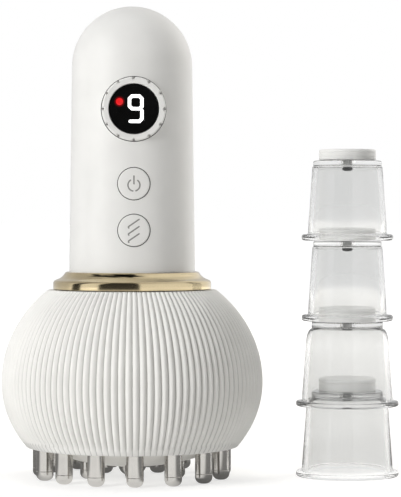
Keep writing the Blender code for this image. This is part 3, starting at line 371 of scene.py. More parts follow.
def eased(corners, steps=4):
    """An outline from (radius, height) corners; a third number is the corner's own rounding."""
    points = []
    for at, corner in enumerate(corners):
        here = Vector(corner[:2])
        if len(corner) < 3:
            points.append(here[:])
            continue
        before = Vector(corners[at - 1][:2]) - here
        after = Vector(corners[(at + 1) % len(corners)][:2]) - here
        start = here + before.normalized() * corner[2]
        end = here + after.normalized() * corner[2]
        for step in range(steps + 1):
            share = step / steps
            points.append(start.lerp(here, share).lerp(here.lerp(end, share), share)[:])
    return points


def bridge(bm, row, after):
    """Faces between two rings of vertices; a ring of one vertex is a point."""
    for at in range(max(len(row), len(after))):
        on = at + 1
        corners = [row[at % len(row)], row[on % len(row)], after[on % len(after)], after[at % len(after)]]
        bm.faces.new(list(dict.fromkeys(corners)))


def turned(outline, columns, bend=None):
    """A closed mesh turned about Z. An outline that starts and ends on the axis closes there."""
    bm = bmesh.new()
    rows = []
    for radius, height in outline:
        if radius < ON_AXIS:
            rows.append([bm.verts.new((0, 0, height))])
            continue
        row = []
        for column in range(columns):
            turn = math.tau * column / columns
            out, up = bend(radius, height, turn) if bend else (radius, height)
            row.append(bm.verts.new((out * math.cos(turn), out * math.sin(turn), up)))
        rows.append(row)
    pairs = list(zip(rows, rows[1:]))
    if len(rows[0]) > 1:
        pairs.append((rows[-1], rows[0]))
    for row, after in pairs:
        bridge(bm, row, after)
    return bm


def moved(bm, move):
    """Moves every vertex by a rule for its place."""
    for vertex in bm.verts:
        vertex.co = move(vertex.co.copy())
    return bm


def shifted(bm, by):
    return moved(bm, lambda place: place + by)


def to_front(height):
    """A rule that turns a piece made along Z to face the front, at a height on the device's axis."""
    return lambda place: Vector((place.x + DEVICE.x, -place.z, place.y + height))


def ribbon(bm, line, width, face, lift, closed=False, taper=(1, 1)):
    """A closed raised stroke along a line of (x, z) points; face gives the carrying surface's y."""
    spots = [Vector(point) for point in line]
    count = len(spots)
    left, right = [], []
    for at, spot in enumerate(spots):
        before = spots[at - 1] if at or closed else spot * 2 - spots[1]
        after = spots[(at + 1) % count] if at < count - 1 or closed else spot * 2 - spots[at - 1]
        toward = (spot - before).normalized()
        onward = (after - spot).normalized()
        side = Vector((-(toward + onward).y, (toward + onward).x)).normalized()
        half = width / 2 / max(side.dot(Vector((-onward.y, onward.x))), STROKE_MITRE)
        left.append(spot + side * half)
        right.append(spot - side * half)
    if not closed:
        for end, heading in ((0, spots[0] - spots[1]), (-1, spots[-1] - spots[-2])):
            tip = spots[end] + heading.normalized() * width * STROKE_TIP * taper[end]
            side = (left[end] - right[end]) * STROKE_TIP_WIDTH * taper[end]
            left.insert(0 if end == 0 else len(left), tip + side)
            right.insert(0 if end == 0 else len(right), tip - side)
    tops, feet = [[[bm.verts.new((DEVICE.x + spot.x, face(spot.x, spot.y) + drop - lift, spot.y))
                    for spot in edge] for edge in (left, right)] for drop in (0, STROKE_DEPTH)]
    for at in range(len(left) if closed else len(left) - 1):
        on = (at + 1) % len(left)
        bm.faces.new([tops[0][at], tops[0][on], tops[1][on], tops[1][at]])
        bm.faces.new([feet[0][at], feet[1][at], feet[1][on], feet[0][on]])
        bm.faces.new([tops[0][at], feet[0][at], feet[0][on], tops[0][on]])
        bm.faces.new([tops[1][at], tops[1][on], feet[1][on], feet[1][at]])
    if not closed:
        bm.faces.new([tops[0][0], tops[1][0], feet[1][0], feet[0][0]])
        bm.faces.new([tops[0][-1], feet[0][-1], feet[1][-1], tops[1][-1]])


def mesh_from(bm, name):
    """Blender's mesh of closed shells, with their faces turned outwards."""
    bmesh.ops.recalc_face_normals(bm, faces=bm.faces)
    mesh = bpy.data.meshes.new(name)
    bm.to_mesh(mesh)
    bm.free()
    return mesh


def smooth(mesh):
    mesh.shade_smooth()
    mesh.set_sharp_from_angle(angle=SHARP_ANGLE)


def in_scene(name, data):
    """A new object in the scene's own collection."""
    made = bpy.data.objects.new(name, data)
    bpy.context.scene.collection.objects.link(made)
    return made


def add_piece(name, bm, body, finish, stands_for=()):
    """Makes a mesh a piece of the object: smooth, finished, and riding on its body."""
    mesh = mesh_from(bm, name)
    smooth(mesh)
    mesh.materials.append(finish)
    piece = in_scene(name, mesh)
    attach(piece, body)
    if stands_for:
        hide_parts(*stands_for)
    return piece


def cut(piece, cutter):
    """Cuts one closed mesh out of another, for good."""
    tool = in_scene("cutter", mesh_from(cutter, "cutter"))
    boolean = piece.modifiers.new("cut", "BOOLEAN")
    boolean.operation = "DIFFERENCE"
    boolean.solver = "EXACT"
    boolean.object = tool
    bpy.context.view_layer.update()
    graph = bpy.context.evaluated_depsgraph_get()
    made = bpy.data.meshes.new_from_object(piece.evaluated_get(graph))
    piece.modifiers.clear()
    piece.data = made
    bpy.data.objects.remove(tool)


# Nodes

def add_node(tree, kind, inputs=None, **settings):
    """A shader node. An input that is given a socket is linked to it, and any other is set."""
    node = tree.nodes.new("ShaderNode" + kind)
    for setting, value in settings.items():
        setattr(node, setting, value)
    for socket, value in (inputs or {}).items():
        if isinstance(value, bpy.types.NodeSocket):
            tree.links.new(value, node.inputs[socket])
        else:
            node.inputs[socket].default_value = value
    return node


def scalar(tree, operation, *values):
    """A number worked out from others."""
    return add_node(tree, "Math", dict(enumerate(values)), operation=operation).outputs[0]


def vector(tree, operation, *values):
    """A vector worked out from others."""
    return add_node(tree, "VectorMath", dict(enumerate(values)), operation=operation).outputs["Vector"]


def measure(tree, operation, *values):
    """A number worked out from vectors."""
    return add_node(tree, "VectorMath", dict(enumerate(values)), operation=operation).outputs["Value"]


def height_in(tree, place):
    return add_node(tree, "SeparateXYZ", {"Vector": place}).outputs["Z"]


def ranged(tree, value, start, end, least, most, style="LINEAR"):
    """A number that goes from least to most as a value goes from start to end."""
    inputs = {"Value": value, "From Min": start, "From Max": end, "To Min": least, "To Max": most}
    return add_node(tree, "MapRange", inputs, interpolation_type=style).outputs["Result"]


def eased_range(tree, value, start, end, least, most):
    return ranged(tree, value, start, end, least, most, "SMOOTHSTEP")


# Finishes

class Finish:
    """A procedural material: one Principled shader, fed by nodes that read the piece's own coordinates."""

    def __init__(self, name, **sockets):
        self.material = bpy.data.materials.new(name)
        self.material.use_nodes = True
        self.tree = self.material.node_tree
        self.shader = self.tree.nodes["Principled BSDF"]
        for socket, value in sockets.items():
            self.shader.inputs[socket.replace("_", " ")].default_value = value
        self.place = self.add("TexCoord").outputs["Object"]

    def add(self, kind, inputs=None, **settings):
        return add_node(self.tree, kind, inputs, **settings)

    def noise(self, size, detail=3, stretch=None):
        """Noise with spots of a real size; stretch makes it longer along an axis."""
        place = self.place
        if stretch:
            place = self.add("Mapping", {"Vector": place, "Scale": stretch}).outputs["Vector"]
        return self.add("TexNoise", {"Vector": place, "Scale": 1 / size, "Detail": detail}).outputs[0]

    def ramp(self, factor, stops):
        """Colours along a factor, from (place, colour) stops."""
        node = self.add("ValToRGB", {"Fac": factor})
        stripes = node.color_ramp.elements
        while len(stripes) < len(stops):
            stripes.new(0.5)
        for stripe, (place, colour) in zip(stripes, stops):
            stripe.position = place
            stripe.color = (*colour, 1)
        return node.outputs["Color"]

    def clouded(self, factor, dark, pale):
        """A colour that wanders between two near ones."""
        return self.ramp(factor, [(CLOUD_START, dark), (CLOUD_END, pale)])

    def between(self, factor, least, most, start=CLOUD_START, end=CLOUD_END):
        """A number that follows a factor between two values."""
        return ranged(self.tree, factor, start, end, least, most)

    def feed(self, socket, value):
        self.tree.links.new(value, self.shader.inputs[socket])

    def gloss(self, size, least, most):
        """An uneven roughness with spots of a real size."""
        self.feed("Roughness", self.between(self.noise(size), least, most))

    def relief(self, height, depth):
        """Fine relief of a real depth."""
        node = self.add("Bump", {"Height": height, "Distance": depth, "Strength": 1.0})
        self.feed("Normal", node.outputs["Normal"])

    def show(self, shader):
        """Puts another shader in the place of the Principled one."""
        self.tree.links.new(shader, self.tree.nodes["Material Output"].inputs["Surface"])


def tone(colour, factor):
    return tuple(min(channel * factor, 1) for channel in colour)


def painted_groove_shade(finish, base):
    """A base colour that is darker in the grooves between the ribs: painted shade for the shadow that falls in
    the grooves.
    """
    tree = finish.tree
    parts = finish.add("SeparateXYZ", {"Vector": vector(tree, "SUBTRACT", finish.place, DEVICE)}).outputs
    turn = scalar(tree, "ADD", scalar(tree, "ARCTAN2", parts["Y"], parts["X"]), math.pi / 2)
    swing = scalar(tree, "COSINE", scalar(tree, "MULTIPLY", turn, RIB_COUNT / 2))
    crest = finish.between(scalar(tree, "ABSOLUTE", swing), 0.0, 1.0, start=0.0, end=GROOVE_SHADE_REACH)
    shade = finish.ramp(crest, [(0.0, GROOVE_PAINTED_SHADE), (1.0, (1, 1, 1))])
    return finish.add("Mix", {0: 1.0, 6: base, 7: shade}, data_type="RGBA", blend_type="MULTIPLY").outputs[2]


def moulded(name, colour, roughness, grain=0.0004, depth=0.000006, spread=0.02, ribs=False, **sockets):
    """Moulded plastic: even colour with faint clouding, a fine sparked grain, uneven gloss."""
    finish = Finish(name, **sockets)
    clouds = finish.noise(CLOUD_SIZE, detail=2)
    base = finish.clouded(clouds, tone(colour, 1 - spread), tone(colour, 1 + spread))
    # On a ribbed piece the base colour gets painted shade in its grooves
    finish.feed("Base Color", painted_groove_shade(finish, base) if ribs else base)
    finish.gloss(GLOSS_SIZE, least=roughness * GLOSS_LEAST, most=roughness * GLOSS_MOST)
    finish.relief(finish.noise(grain, detail=2), depth)
    return finish.material


def metal(name, colour, roughness, stretch, size=0.0003):
    """Polished or brushed metal: fine lines along one direction, and faint smudges in its tone."""
    finish = Finish(name, Metallic=1.0)
    smudges = finish.noise(SMUDGE_SIZE, detail=2)
    base = finish.clouded(smudges, tone(colour, 1 - METAL_SPREAD), tone(colour, 1 + METAL_SPREAD))
    finish.feed("Base Color", base)
    lines = finish.noise(size, detail=2, stretch=stretch)
    uneven = finish.between(lines, least=roughness * METAL_GLOSS_LEAST, most=roughness * METAL_GLOSS_MOST)
    finish.feed("Roughness", uneven)
    finish.relief(lines, METAL_LINE_DEPTH)
    return finish.material


def clear_plastic(cup=0):
    """Clear moulded plastic: a faint grey tint, paler in a cup's thick rim as a painted highlight, and soft
    flow lines.
    """
    finish = Finish(f"clear_plastic_finish_{cup}", Transmission_Weight=0.98, IOR=1.42)
    clouds = finish.noise(size=0.02, detail=2, stretch=(1, 1, 0.25))
    tint = finish.clouded(clouds, CLEAR_TINT, tone(CLEAR_TINT, 1 + CLEAR_SPREAD))
    # Painted highlight: the rim's tint is paler, so the rim reads brighter
    if cup:
        rim_top = cup_kind(cup).rim_top
        rim = finish.between(height_in(finish.tree, finish.place), 1.0, 0.0,
                             start=rim_top + RIM_HIGHLIGHT_FADE_START, end=rim_top + RIM_HIGHLIGHT_FADE)
        tint = finish.add("Mix", {0: rim, 6: tint, 7: (*RIM_PAINTED_HIGHLIGHT, 1)}, data_type="RGBA").outputs[2]
    finish.feed("Base Color", tint)
    finish.gloss(size=0.003, least=0.035, most=0.075)
    finish.relief(finish.noise(size=0.006, detail=1, stretch=(1, 1, 0.2)), depth=0.00002)
    window = finish.add("BsdfTransparent", {"Color": (*CLEAR_SHADOW, 1)})
    shadow_ray = finish.add("LightPath").outputs["Is Shadow Ray"]
    finish.show(finish.add("MixShader", {0: shadow_ray, 1: finish.shader.outputs["BSDF"],
                                         2: window.outputs["BSDF"]}).outputs["Shader"])
    return finish.material


def black_glass():
    """The display's window: near black, glossy, with a red glow round the lit dot."""
    finish = Finish("display_glass_finish", Coat_Weight=0.3, Coat_Roughness=0.03, Emission_Strength=1.0)
    finish.feed("Base Color", finish.clouded(finish.noise(size=0.006), GLASS_DARK, GLASS_PALE))
    finish.gloss(size=0.002, least=0.10, most=0.16)
    spot = (DEVICE.x + DOT_X, middle("display_lens").y, DISPLAY_Z + DOT_Z)
    away = measure(finish.tree, "DISTANCE", finish.place, spot)
    near = finish.between(away, 1.0, 0.0, start=DOT_RADIUS, end=DOT_RADIUS * GLOW_REACH)
    finish.feed("Emission Color", finish.ramp(near, [(0.0, (0, 0, 0)), (1.0, GLOW_RED)]))
    return finish.material


def lit(name, colour, edge, strength):
    """A lit sign: a bright colour with faint unevenness."""
    finish = Finish(name, Emission_Strength=strength)
    shades = finish.ramp(finish.noise(size=0.0012, detail=1), [(0.25, edge), (0.6, colour)])
    finish.feed("Base Color", shades)
    finish.feed("Emission Color", shades)
    finish.gloss(size=0.001, least=0.3, most=0.4)
    return finish.material


def circuit_green():
    """Solder mask with copper tracks showing through it."""
    finish = Finish("circuit_board_finish", Coat_Weight=0.3, Coat_Roughness=0.2)
    tracks = finish.add("TexBrick", {"Vector": finish.place, "Scale": 260.0, "Mortar Size": 0.03,
                                     "Color1": (*BOARD_GREEN, 1), "Color2": (*BOARD_PALE_GREEN, 1),
                                     "Mortar": (*TRACK_GREEN, 1)})
    finish.feed("Base Color", tracks.outputs["Color"])
    finish.gloss(size=0.002, least=0.3, most=0.45)
    finish.relief(tracks.outputs["Fac"], depth=0.00002)
    return finish.material


def finishes():
    """One finish for each of the record's material slots, one for the pin plate and one for the marks, whose
    grey also paints shade into the bezel's notches.
    """
    return {
        "housing": moulded("housing_finish", WHITE_PLASTIC, roughness=0.34, Coat_Weight=0.25,
                           Coat_Roughness=0.22),
        # The bulb's finish carries painted shade in the grooves between its ribs
        "bulb": moulded("bulb_finish", BULB_PLASTIC, roughness=0.40, ribs=True, Coat_Weight=0.2,
                        Coat_Roughness=0.25),
        "plate": moulded("plate_finish", PLATE_PLASTIC, roughness=0.55),
        "gold_trim": metal("gold_trim_finish", GOLD, roughness=0.12, stretch=(0.15, 0.15, 4)),
        "pins": metal("pins_finish", STEEL, roughness=0.15, stretch=(1, 1, 3)),
        "motor_steel": metal("motor_steel_finish", MOTOR_STEEL, roughness=0.32, stretch=(0.2, 0.2, 3)),
        "magnet": metal("magnet_finish", MAGNET, roughness=0.38, stretch=(1, 1, 1), size=0.0008),
        "heater": metal("heater_finish", COPPER, roughness=0.30, stretch=(3, 3, 1), size=0.0006),
        "dark_plastic": moulded("dark_plastic_finish", DARK_PLASTIC, roughness=0.45, spread=0.15),
        "circuit_board": circuit_green(),
        "cell": moulded("cell_finish", CELL_BLUE, roughness=0.30, spread=0.08, Coat_Weight=0.4,
                        Coat_Roughness=0.15),
        "hose": moulded("hose_finish", HOSE, roughness=0.42, spread=0.05, Subsurface_Weight=0.15),
        "display_glass": black_glass(),
        "clear_plastic": clear_plastic(),
        "cap": moulded("cap_finish", CAP_PLASTIC, roughness=0.38, Coat_Weight=0.15, Coat_Roughness=0.25),
        "black_rubber": moulded("black_rubber_finish", RUBBER, roughness=0.62, grain=0.0002, depth=0.00002,
                                spread=0.2),
        "mark": moulded("mark_finish", SIGN_GREY_AND_NOTCH_SHADE, roughness=0.55, spread=0.05),
    }


# Studio

def seen_rays(tree):
    """The kinds of ray, and 1 for those that look at the background: the camera's, gloss's and glass's."""
    rays = add_node(tree, "LightPath").outputs
    direct = scalar(tree, "MAXIMUM", rays["Is Camera Ray"], rays["Is Transmission Ray"])
    return rays, scalar(tree, "MAXIMUM", direct, rays["Is Glossy Ray"])


def levelled(tree, direction):
    """A direction laid level, of length 1."""
    return vector(tree, "NORMALIZE", vector(tree, "MULTIPLY", direction, (1, 1, 0)))


def dark_gap(tree, direction, azimuth, half_width, soft, least):
    """A factor that falls to its least inside an upright strip of the room and is 1 outside it."""
    turn = math.radians(azimuth)
    toward = measure(tree, "DOT_PRODUCT", direction, (math.sin(turn), -math.cos(turn), 0))
    outer, inner = math.radians(half_width + soft), math.radians(max(half_width - soft, 0))
    return eased_range(tree, toward, math.cos(outer), math.cos(inner), 1, least)


def room_card(tree, upward, azimuth, lift, half_width, half_height, level):
    """A factor for a long card over the object, placed by the slope of polish that shows it in front."""
    turn, tilt = math.radians(azimuth), math.radians(lift)
    stretch = 1 / math.sin(math.radians(half_width))
    squeeze = 1 / (math.cos(tilt) * math.radians(half_height))
    slope = vector(tree, "NORMALIZE", vector(tree, "ADD", upward, TO_FRONT))
    along = measure(tree, "DOT_PRODUCT", levelled(tree, slope),
                    (math.cos(turn) * stretch, math.sin(turn) * stretch, 0))
    over = scalar(tree, "MULTIPLY_ADD", height_in(tree, slope), squeeze, -math.sin(tilt) * squeeze)
    both = add_node(tree, "CombineXYZ", {"X": along, "Y": over}).outputs["Vector"]
    return eased_range(tree, measure(tree, "LENGTH", both), 1 - CARD_SOFTNESS, 1 + CARD_SOFTNESS, level, 1)


def room_share(tree, rays, direction, gaps, cards=()):
    """The part of the room's white that a ray sees.

    Only gloss on the outside meets the dark gaps, the greyer ceiling and the cards.
    """
    level = levelled(tree, direction)
    upward = vector(tree, "NORMALIZE", direction)
    factors = [dark_gap(tree, level, *gap) for gap in gaps]
    factors.append(eased_range(tree, height_in(tree, upward), *CEILING))
    factors += [room_card(tree, upward, *card) for card in cards]
    product = functools.reduce(lambda one, other: scalar(tree, "MULTIPLY", one, other), factors)
    outside = scalar(tree, "LESS_THAN", rays["Transmission Depth"], 0.5)
    gloss = scalar(tree, "MULTIPLY", rays["Is Glossy Ray"], outside)
    return add_node(tree, "Mix", {0: gloss, 2: 1.0, 3: product}).outputs[0]


def studio_world():
    """A white room to the camera and glass, a soft fill on the object, and dark gaps in what gloss shows."""
    world = bpy.data.worlds.new("studio")
    bpy.context.scene.world = world
    world.use_nodes = True
    tree = world.node_tree
    fill = tree.nodes["Background"]
    fill.inputs["Color"].default_value = WHITE
    fill.inputs["Strength"].default_value = FILL_STRENGTH
    rays, seen = seen_rays(tree)
    direction = add_node(tree, "TexCoord").outputs["Generated"]
    share = room_share(tree, rays, direction, ROOM_GAPS, ROOM_CARDS)
    room = add_node(tree, "Background", {"Color": WHITE, "Strength": share})
    mix = add_node(tree, "MixShader", {0: seen, 1: fill.outputs[0], 2: room.outputs[0]})
    tree.links.new(mix.outputs[0], tree.nodes["World Output"].inputs["Surface"])


def floor_finish():
    """A pale floor that reads white to the camera and keeps the object's shadow."""
    finish = Finish("studio_floor_finish", Roughness=FLOOR_ROUGHNESS, Specular_IOR_Level=0.0)
    tree, place = finish.tree, finish.place
    rays, seen = seen_rays(tree)
    reached = ranged(tree, measure(tree, "LENGTH", place), *FLOOR_GLOW)
    level = scalar(tree, "MULTIPLY", scalar(tree, "MAXIMUM", seen, FLOOR_BOUNCE), reached)
    away = vector(tree, "SUBTRACT", place, DEVICE)
    far = ranged(tree, measure(tree, "LENGTH", away), *GAP_RANGE)
    near_share, far_share = [room_share(tree, rays, away, gaps) for gaps in (FLOOR_GAPS, ROOM_GAPS)]
    share = add_node(tree, "Mix", {0: far, 2: near_share, 3: far_share}).outputs[0]
    tint = add_node(tree, "VectorMath", {0: FLOOR_COLOUR, "Scale": share}, operation="SCALE")
    finish.feed("Base Color", tint.outputs["Vector"])
    glow = add_node(tree, "Emission", {"Color": WHITE, "Strength": scalar(tree, "MULTIPLY", level, share)})
    finish.show(add_node(tree, "AddShader", {0: finish.shader.outputs[0], 1: glow.outputs[0]}).outputs[0])
    return finish.material


def studio_floor():
    """The plain floor, which rides on none of the object's bodies."""
    half = FLOOR_SIZE / 2
    mesh = bpy.data.meshes.new("studio_floor")
    mesh.from_pydata([(-half, -half, 0), (half, -half, 0), (half, half, 0), (-half, half, 0)], [],
                     [(0, 1, 2, 3)])
    floor = in_scene("studio_floor", mesh)
    mesh.materials.append(floor_finish())


def add_lamp(name, azimuth, elevation, distance, width, height, power, colour=(1, 1, 1)):
    """A soft rectangular lamp that looks at the studio's middle. Azimuth 0 is the camera's side."""
    turn, lift = math.radians(azimuth), math.radians(elevation)
    away = Vector((math.sin(turn) * math.cos(lift), -math.cos(turn) * math.cos(lift), math.sin(lift)))
    data = bpy.data.lights.new(name, "AREA")
    data.shape = "RECTANGLE"
    data.size = width
    data.size_y = height
    data.energy = power
    data.color = colour
    lamp = in_scene(name, data)
    lamp.location = STUDIO_MIDDLE + away * distance
    lamp.rotation_mode = "QUATERNION"
    lamp.rotation_quaternion = away.to_track_quat("Z", "Y")
    lamp.visible_glossy = False
    lamp.visible_transmission = False


def add_camera():
    data = bpy.data.cameras.new("camera")
    data.lens = CAMERA_LENS
    data.sensor_width = CAMERA_SENSOR
    data.clip_start = CAMERA_NEAR
    data.clip_end = CAMERA_FAR
    camera = in_scene("camera", data)
    camera.location = CAMERA_PLACE
    camera.rotation_mode = "QUATERNION"
    camera.rotation_quaternion = (CAMERA_PLACE - CAMERA_AIM).to_track_quat("Z", "Y")
    bpy.context.scene.camera = camera


# Head

def build_bulb(finish):
    """The ribbed bulb: broad rounded ribs with narrow grooves, fading into a plain lip."""
    radius = reach("head_shell")
    foot, top = span("head_shell")
    rib_foot = foot + LIP_BAND
    opening = reach("pin_plate") + FIT

    def outline(width, rise, drop, start, end, steps):
        high_lean = math.degrees(math.asin((start - BULB_EQUATOR) / rise))
        low_lean = -math.degrees(math.asin((BULB_EQUATOR - end) / drop))
        leans = [math.radians(mixed(high_lean, low_lean, at / steps)) for at in range(steps + 1)]
        return [(width * math.cos(lean), BULB_EQUATOR + (rise if lean > 0 else drop) * math.sin(lean))
                for lean in leans]

    outside = outline(radius, BULB_RISE, BULB_DROP, top - NECK_DROP, rib_foot, BULB_ROWS)
    neck = outside[0][0]
    mouth = reach("head_socket") - MOUTH_OVERLAP
    lip = eased([outside[-1], (opening + LIP_WIDTH, foot + LIP_RISE, LIP_ROUND),
                 (opening, foot, LIP_INNER_ROUND), (opening, foot + LIP_DEPTH)])[1:]
    inside = outline(radius - BULB_WALL, BULB_RISE - BULB_WALL, BULB_DROP - BULB_WALL,
                     top - BULB_WALL, foot + LIP_DEPTH, BULB_INSIDE_ROWS)
    skin = [(neck - NECK_INSET, top), *outside]
    skin_heights = {round(height, 7) for _, height in skin}
    full_ridge = math.sqrt(1 + RIB_SOFTNESS ** 2) - RIB_SOFTNESS

    def carve(out, up, turn):
        if round(up, 7) not in skin_heights or out < neck - NECK_TOLERANCE:
            return out, up
        wave = math.cos((turn + math.pi / 2) * RIB_COUNT / 2)
        ridge = (math.sqrt(wave * wave + RIB_SOFTNESS ** 2) - RIB_SOFTNESS) / full_ridge
        fade = min(max((up - rib_foot) / RIB_FADE, 0), 1)
        return out - RIB_DEPTH * (1 - ridge) * fade, up

    shape = skin + lip + inside[::-1] + [(mouth, top - BULB_WALL), (mouth, top)]
    body = turned(shape, RIB_COUNT * BULB_COLUMNS_PER_RIB, carve)
    add_piece("ribbed_bulb", shifted(body, DEVICE), "head", finish, ["head_shell"])


def plate_height(radius):
    """The plate's bulging underside."""
    return low("pin_plate").z + PLATE_BULGE * (radius / reach("pin_plate")) ** 2


def build_plate(finish):
    """The smooth ivory plate that closes the bulb from below."""
    radius = reach("pin_plate")
    outs = [radius * at / PLATE_ROWS for at in range(PLATE_ROWS + 1)]
    under = [(out, plate_height(out)) for out in outs]
    over = [(out, up + PLATE_WALL) for out, up in reversed(under)]
    edge = under[-1][1]
    outline = [*under[:-1], (radius - PLATE_EDGE, edge), (radius, edge + PLATE_EDGE_RISE), *over]
    body = shifted(turned(outline, PLATE_COLUMNS), DEVICE)
    add_piece("pin_plate_skin", body, "head", finish, ["pin_plate"])


def build_pins(finish):
    """Polished steel pins with domed ends, a fine line where each dome starts, one piece for each node."""
    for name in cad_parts:
        if "_pin_" not in name and name != "centre_post":
            continue
        radius = reach(name)
        tip, top = span(name)
        dome = arc(radius - PIN_FLAT, 0, -90, ARC_STEPS // 2, (PIN_FLAT, tip + radius - PIN_FLAT))
        line = tip + radius + PIN_LINE_RISE
        outline = [(0, top), (radius, top), (radius, line + 2 * PIN_LINE),
                   (radius - PIN_LINE, line + PIN_LINE), (radius, line), *dome, (0, tip)]
        body = shifted(turned(outline, SMALL_COLUMNS), foot_of(name))
        add_piece(name + "_polished", body, "head", finish, [name])


def build_ring(finish):
    """The gold ring: band, hollow flare and thin rounded lip."""
    foot, top = span("gold_ring")
    radius = reach("gold_ring")
    band_top = foot + RING_BAND
    bore = reach("handle_foot") + FIT
    lip = bore + RING_LIP
    seat, seat_top = reach("head_socket") + FIT, foot + RING_SEAT
    flare = [(mixed(lip, radius, out), mixed(top, band_top, down), RING_FLARE_ROUND)
             for out, down in RING_FLARE]
    corners = [(lip, top, RING_ROUND), *flare, (radius, band_top, RING_ROUND),
               (radius, foot, RING_FOOT_ROUND), (seat, foot), (seat, seat_top), (bore, seat_top),
               (bore, top, RING_BORE_ROUND)]
    body = shifted(turned(eased(corners), BARREL_COLUMNS), DEVICE)
    add_piece("gold_trim_ring", body, "head", finish, ["gold_ring"])


# Handle

def barrel_radius(height):
    """The barrel's outside at a height."""
    foot, top = span("handle_sleeve")
    share = (height - foot) / (top - DOME_RADIUS - foot)
    return mixed(reach("handle_sleeve"), DOME_RADIUS, min(max(share, 0), 1))


def build_barrel(finish):
    """The tapered white barrel with its domed top, pierced for the display, buttons and socket."""
    foot, top = span("handle_sleeve")
    centre = top - DOME_RADIUS
    wide = reach("handle_sleeve")
    dome = arc(DOME_RADIUS, 90, 0, ARC_STEPS, (0, centre))
    inner = arc(DOME_RADIUS - BARREL_WALL, 0, 90, ARC_STEPS // 2, (0, centre))
    side = [(mixed(DOME_RADIUS, wide, at / BARREL_ROWS), mixed(centre, foot + FOOT_ROUND, at / BARREL_ROWS))
            for at in range(1, BARREL_ROWS)]
    rim = eased([side[-1], (wide, foot, FOOT_ROUND), (wide - BARREL_WALL, foot, FOOT_ROUND), inner[0]])[1:-1]
    dome[0] = (0, top)
    inner[-1] = (0, top - BARREL_WALL)
    body = shifted(turned(dome + side + rim + inner, BARREL_COLUMNS), DEVICE)
    barrel = add_piece("handle_barrel", body, "handle", finish, ["handle_sleeve"])
    for node, radius in CONTROL_HOLES.items():
        hole = radius + FIT
        start, end = DRILL_SPAN
        outline = [(0, start), (hole, start), (hole, end), (0, end)]
        cut(barrel, moved(turned(outline, DRILL_COLUMNS), to_front(middle(node).z)))
    cut(barrel, socket_cutter())
    smooth(barrel.data)


def socket_cutter():
    """The charging inlet's hole, with rounded corners."""
    lo, hi = box("charging_socket")
    size = Vector((hi.x - lo.x + 2 * FIT, SOCKET_HOLE_DEPTH, hi.z - lo.z + 2 * FIT))
    spot = Vector((middle("charging_socket").x, hi.y, middle("charging_socket").z))
    bm = bmesh.new()
    bmesh.ops.create_cube(bm, size=1)
    along = [edge for edge in bm.edges if abs((edge.verts[0].co - edge.verts[1].co).y) > 0.5]
    bmesh.ops.bevel(bm, geom=along, offset=SOCKET_HOLE_ROUND, segments=SOCKET_HOLE_STEPS, affect="EDGES",
                    clamp_overlap=True)
    return moved(bm, lambda place: place * size + spot)


def hole_band(node, rows):
    """A closed band round a control's hole, from (radius, depth) rows that follow the barrel's outside."""
    bm = bmesh.new()
    rings = []
    for radius, depth in rows:
        ring = []
        for at in range(HOLE_COLUMNS):
            turn = math.tau * at / HOLE_COLUMNS
            x, z = radius * math.cos(turn), middle(node).z + radius * math.sin(turn)
            ring.append(bm.verts.new((DEVICE.x + x, depth - chord(barrel_radius(z), x), z)))
        rings.append(ring)
    for ring, after in zip(rings, rings[1:] + rings[:1]):
        bridge(bm, ring, after)
    return bm


def build_hole_edges(finish):
    """A small rounded edge round each button's hole."""
    for node in ("power_button", "mode_button"):
        rows = [(CONTROL_HOLES[node] + FIT + out, depth) for out, depth in HOLE_EDGE]
        add_piece(node + "_rim", hole_band(node, rows), "handle", finish)


def build_gaskets(rubber):
    """A dark seal in the gap round the bezel and round each key, a hair under the barrel's outside."""
    for node, radius in CONTROL_HOLES.items():
        inner, outer = radius + GASKET_SLIP, radius + FIT
        rows = [(inner, GASKET_DEPTH), (inner, GASKET_DROP), (outer, GASKET_DROP), (outer, GASKET_DEPTH)]
        add_piece(node + "_gasket", hole_band(node, rows), "handle", rubber)


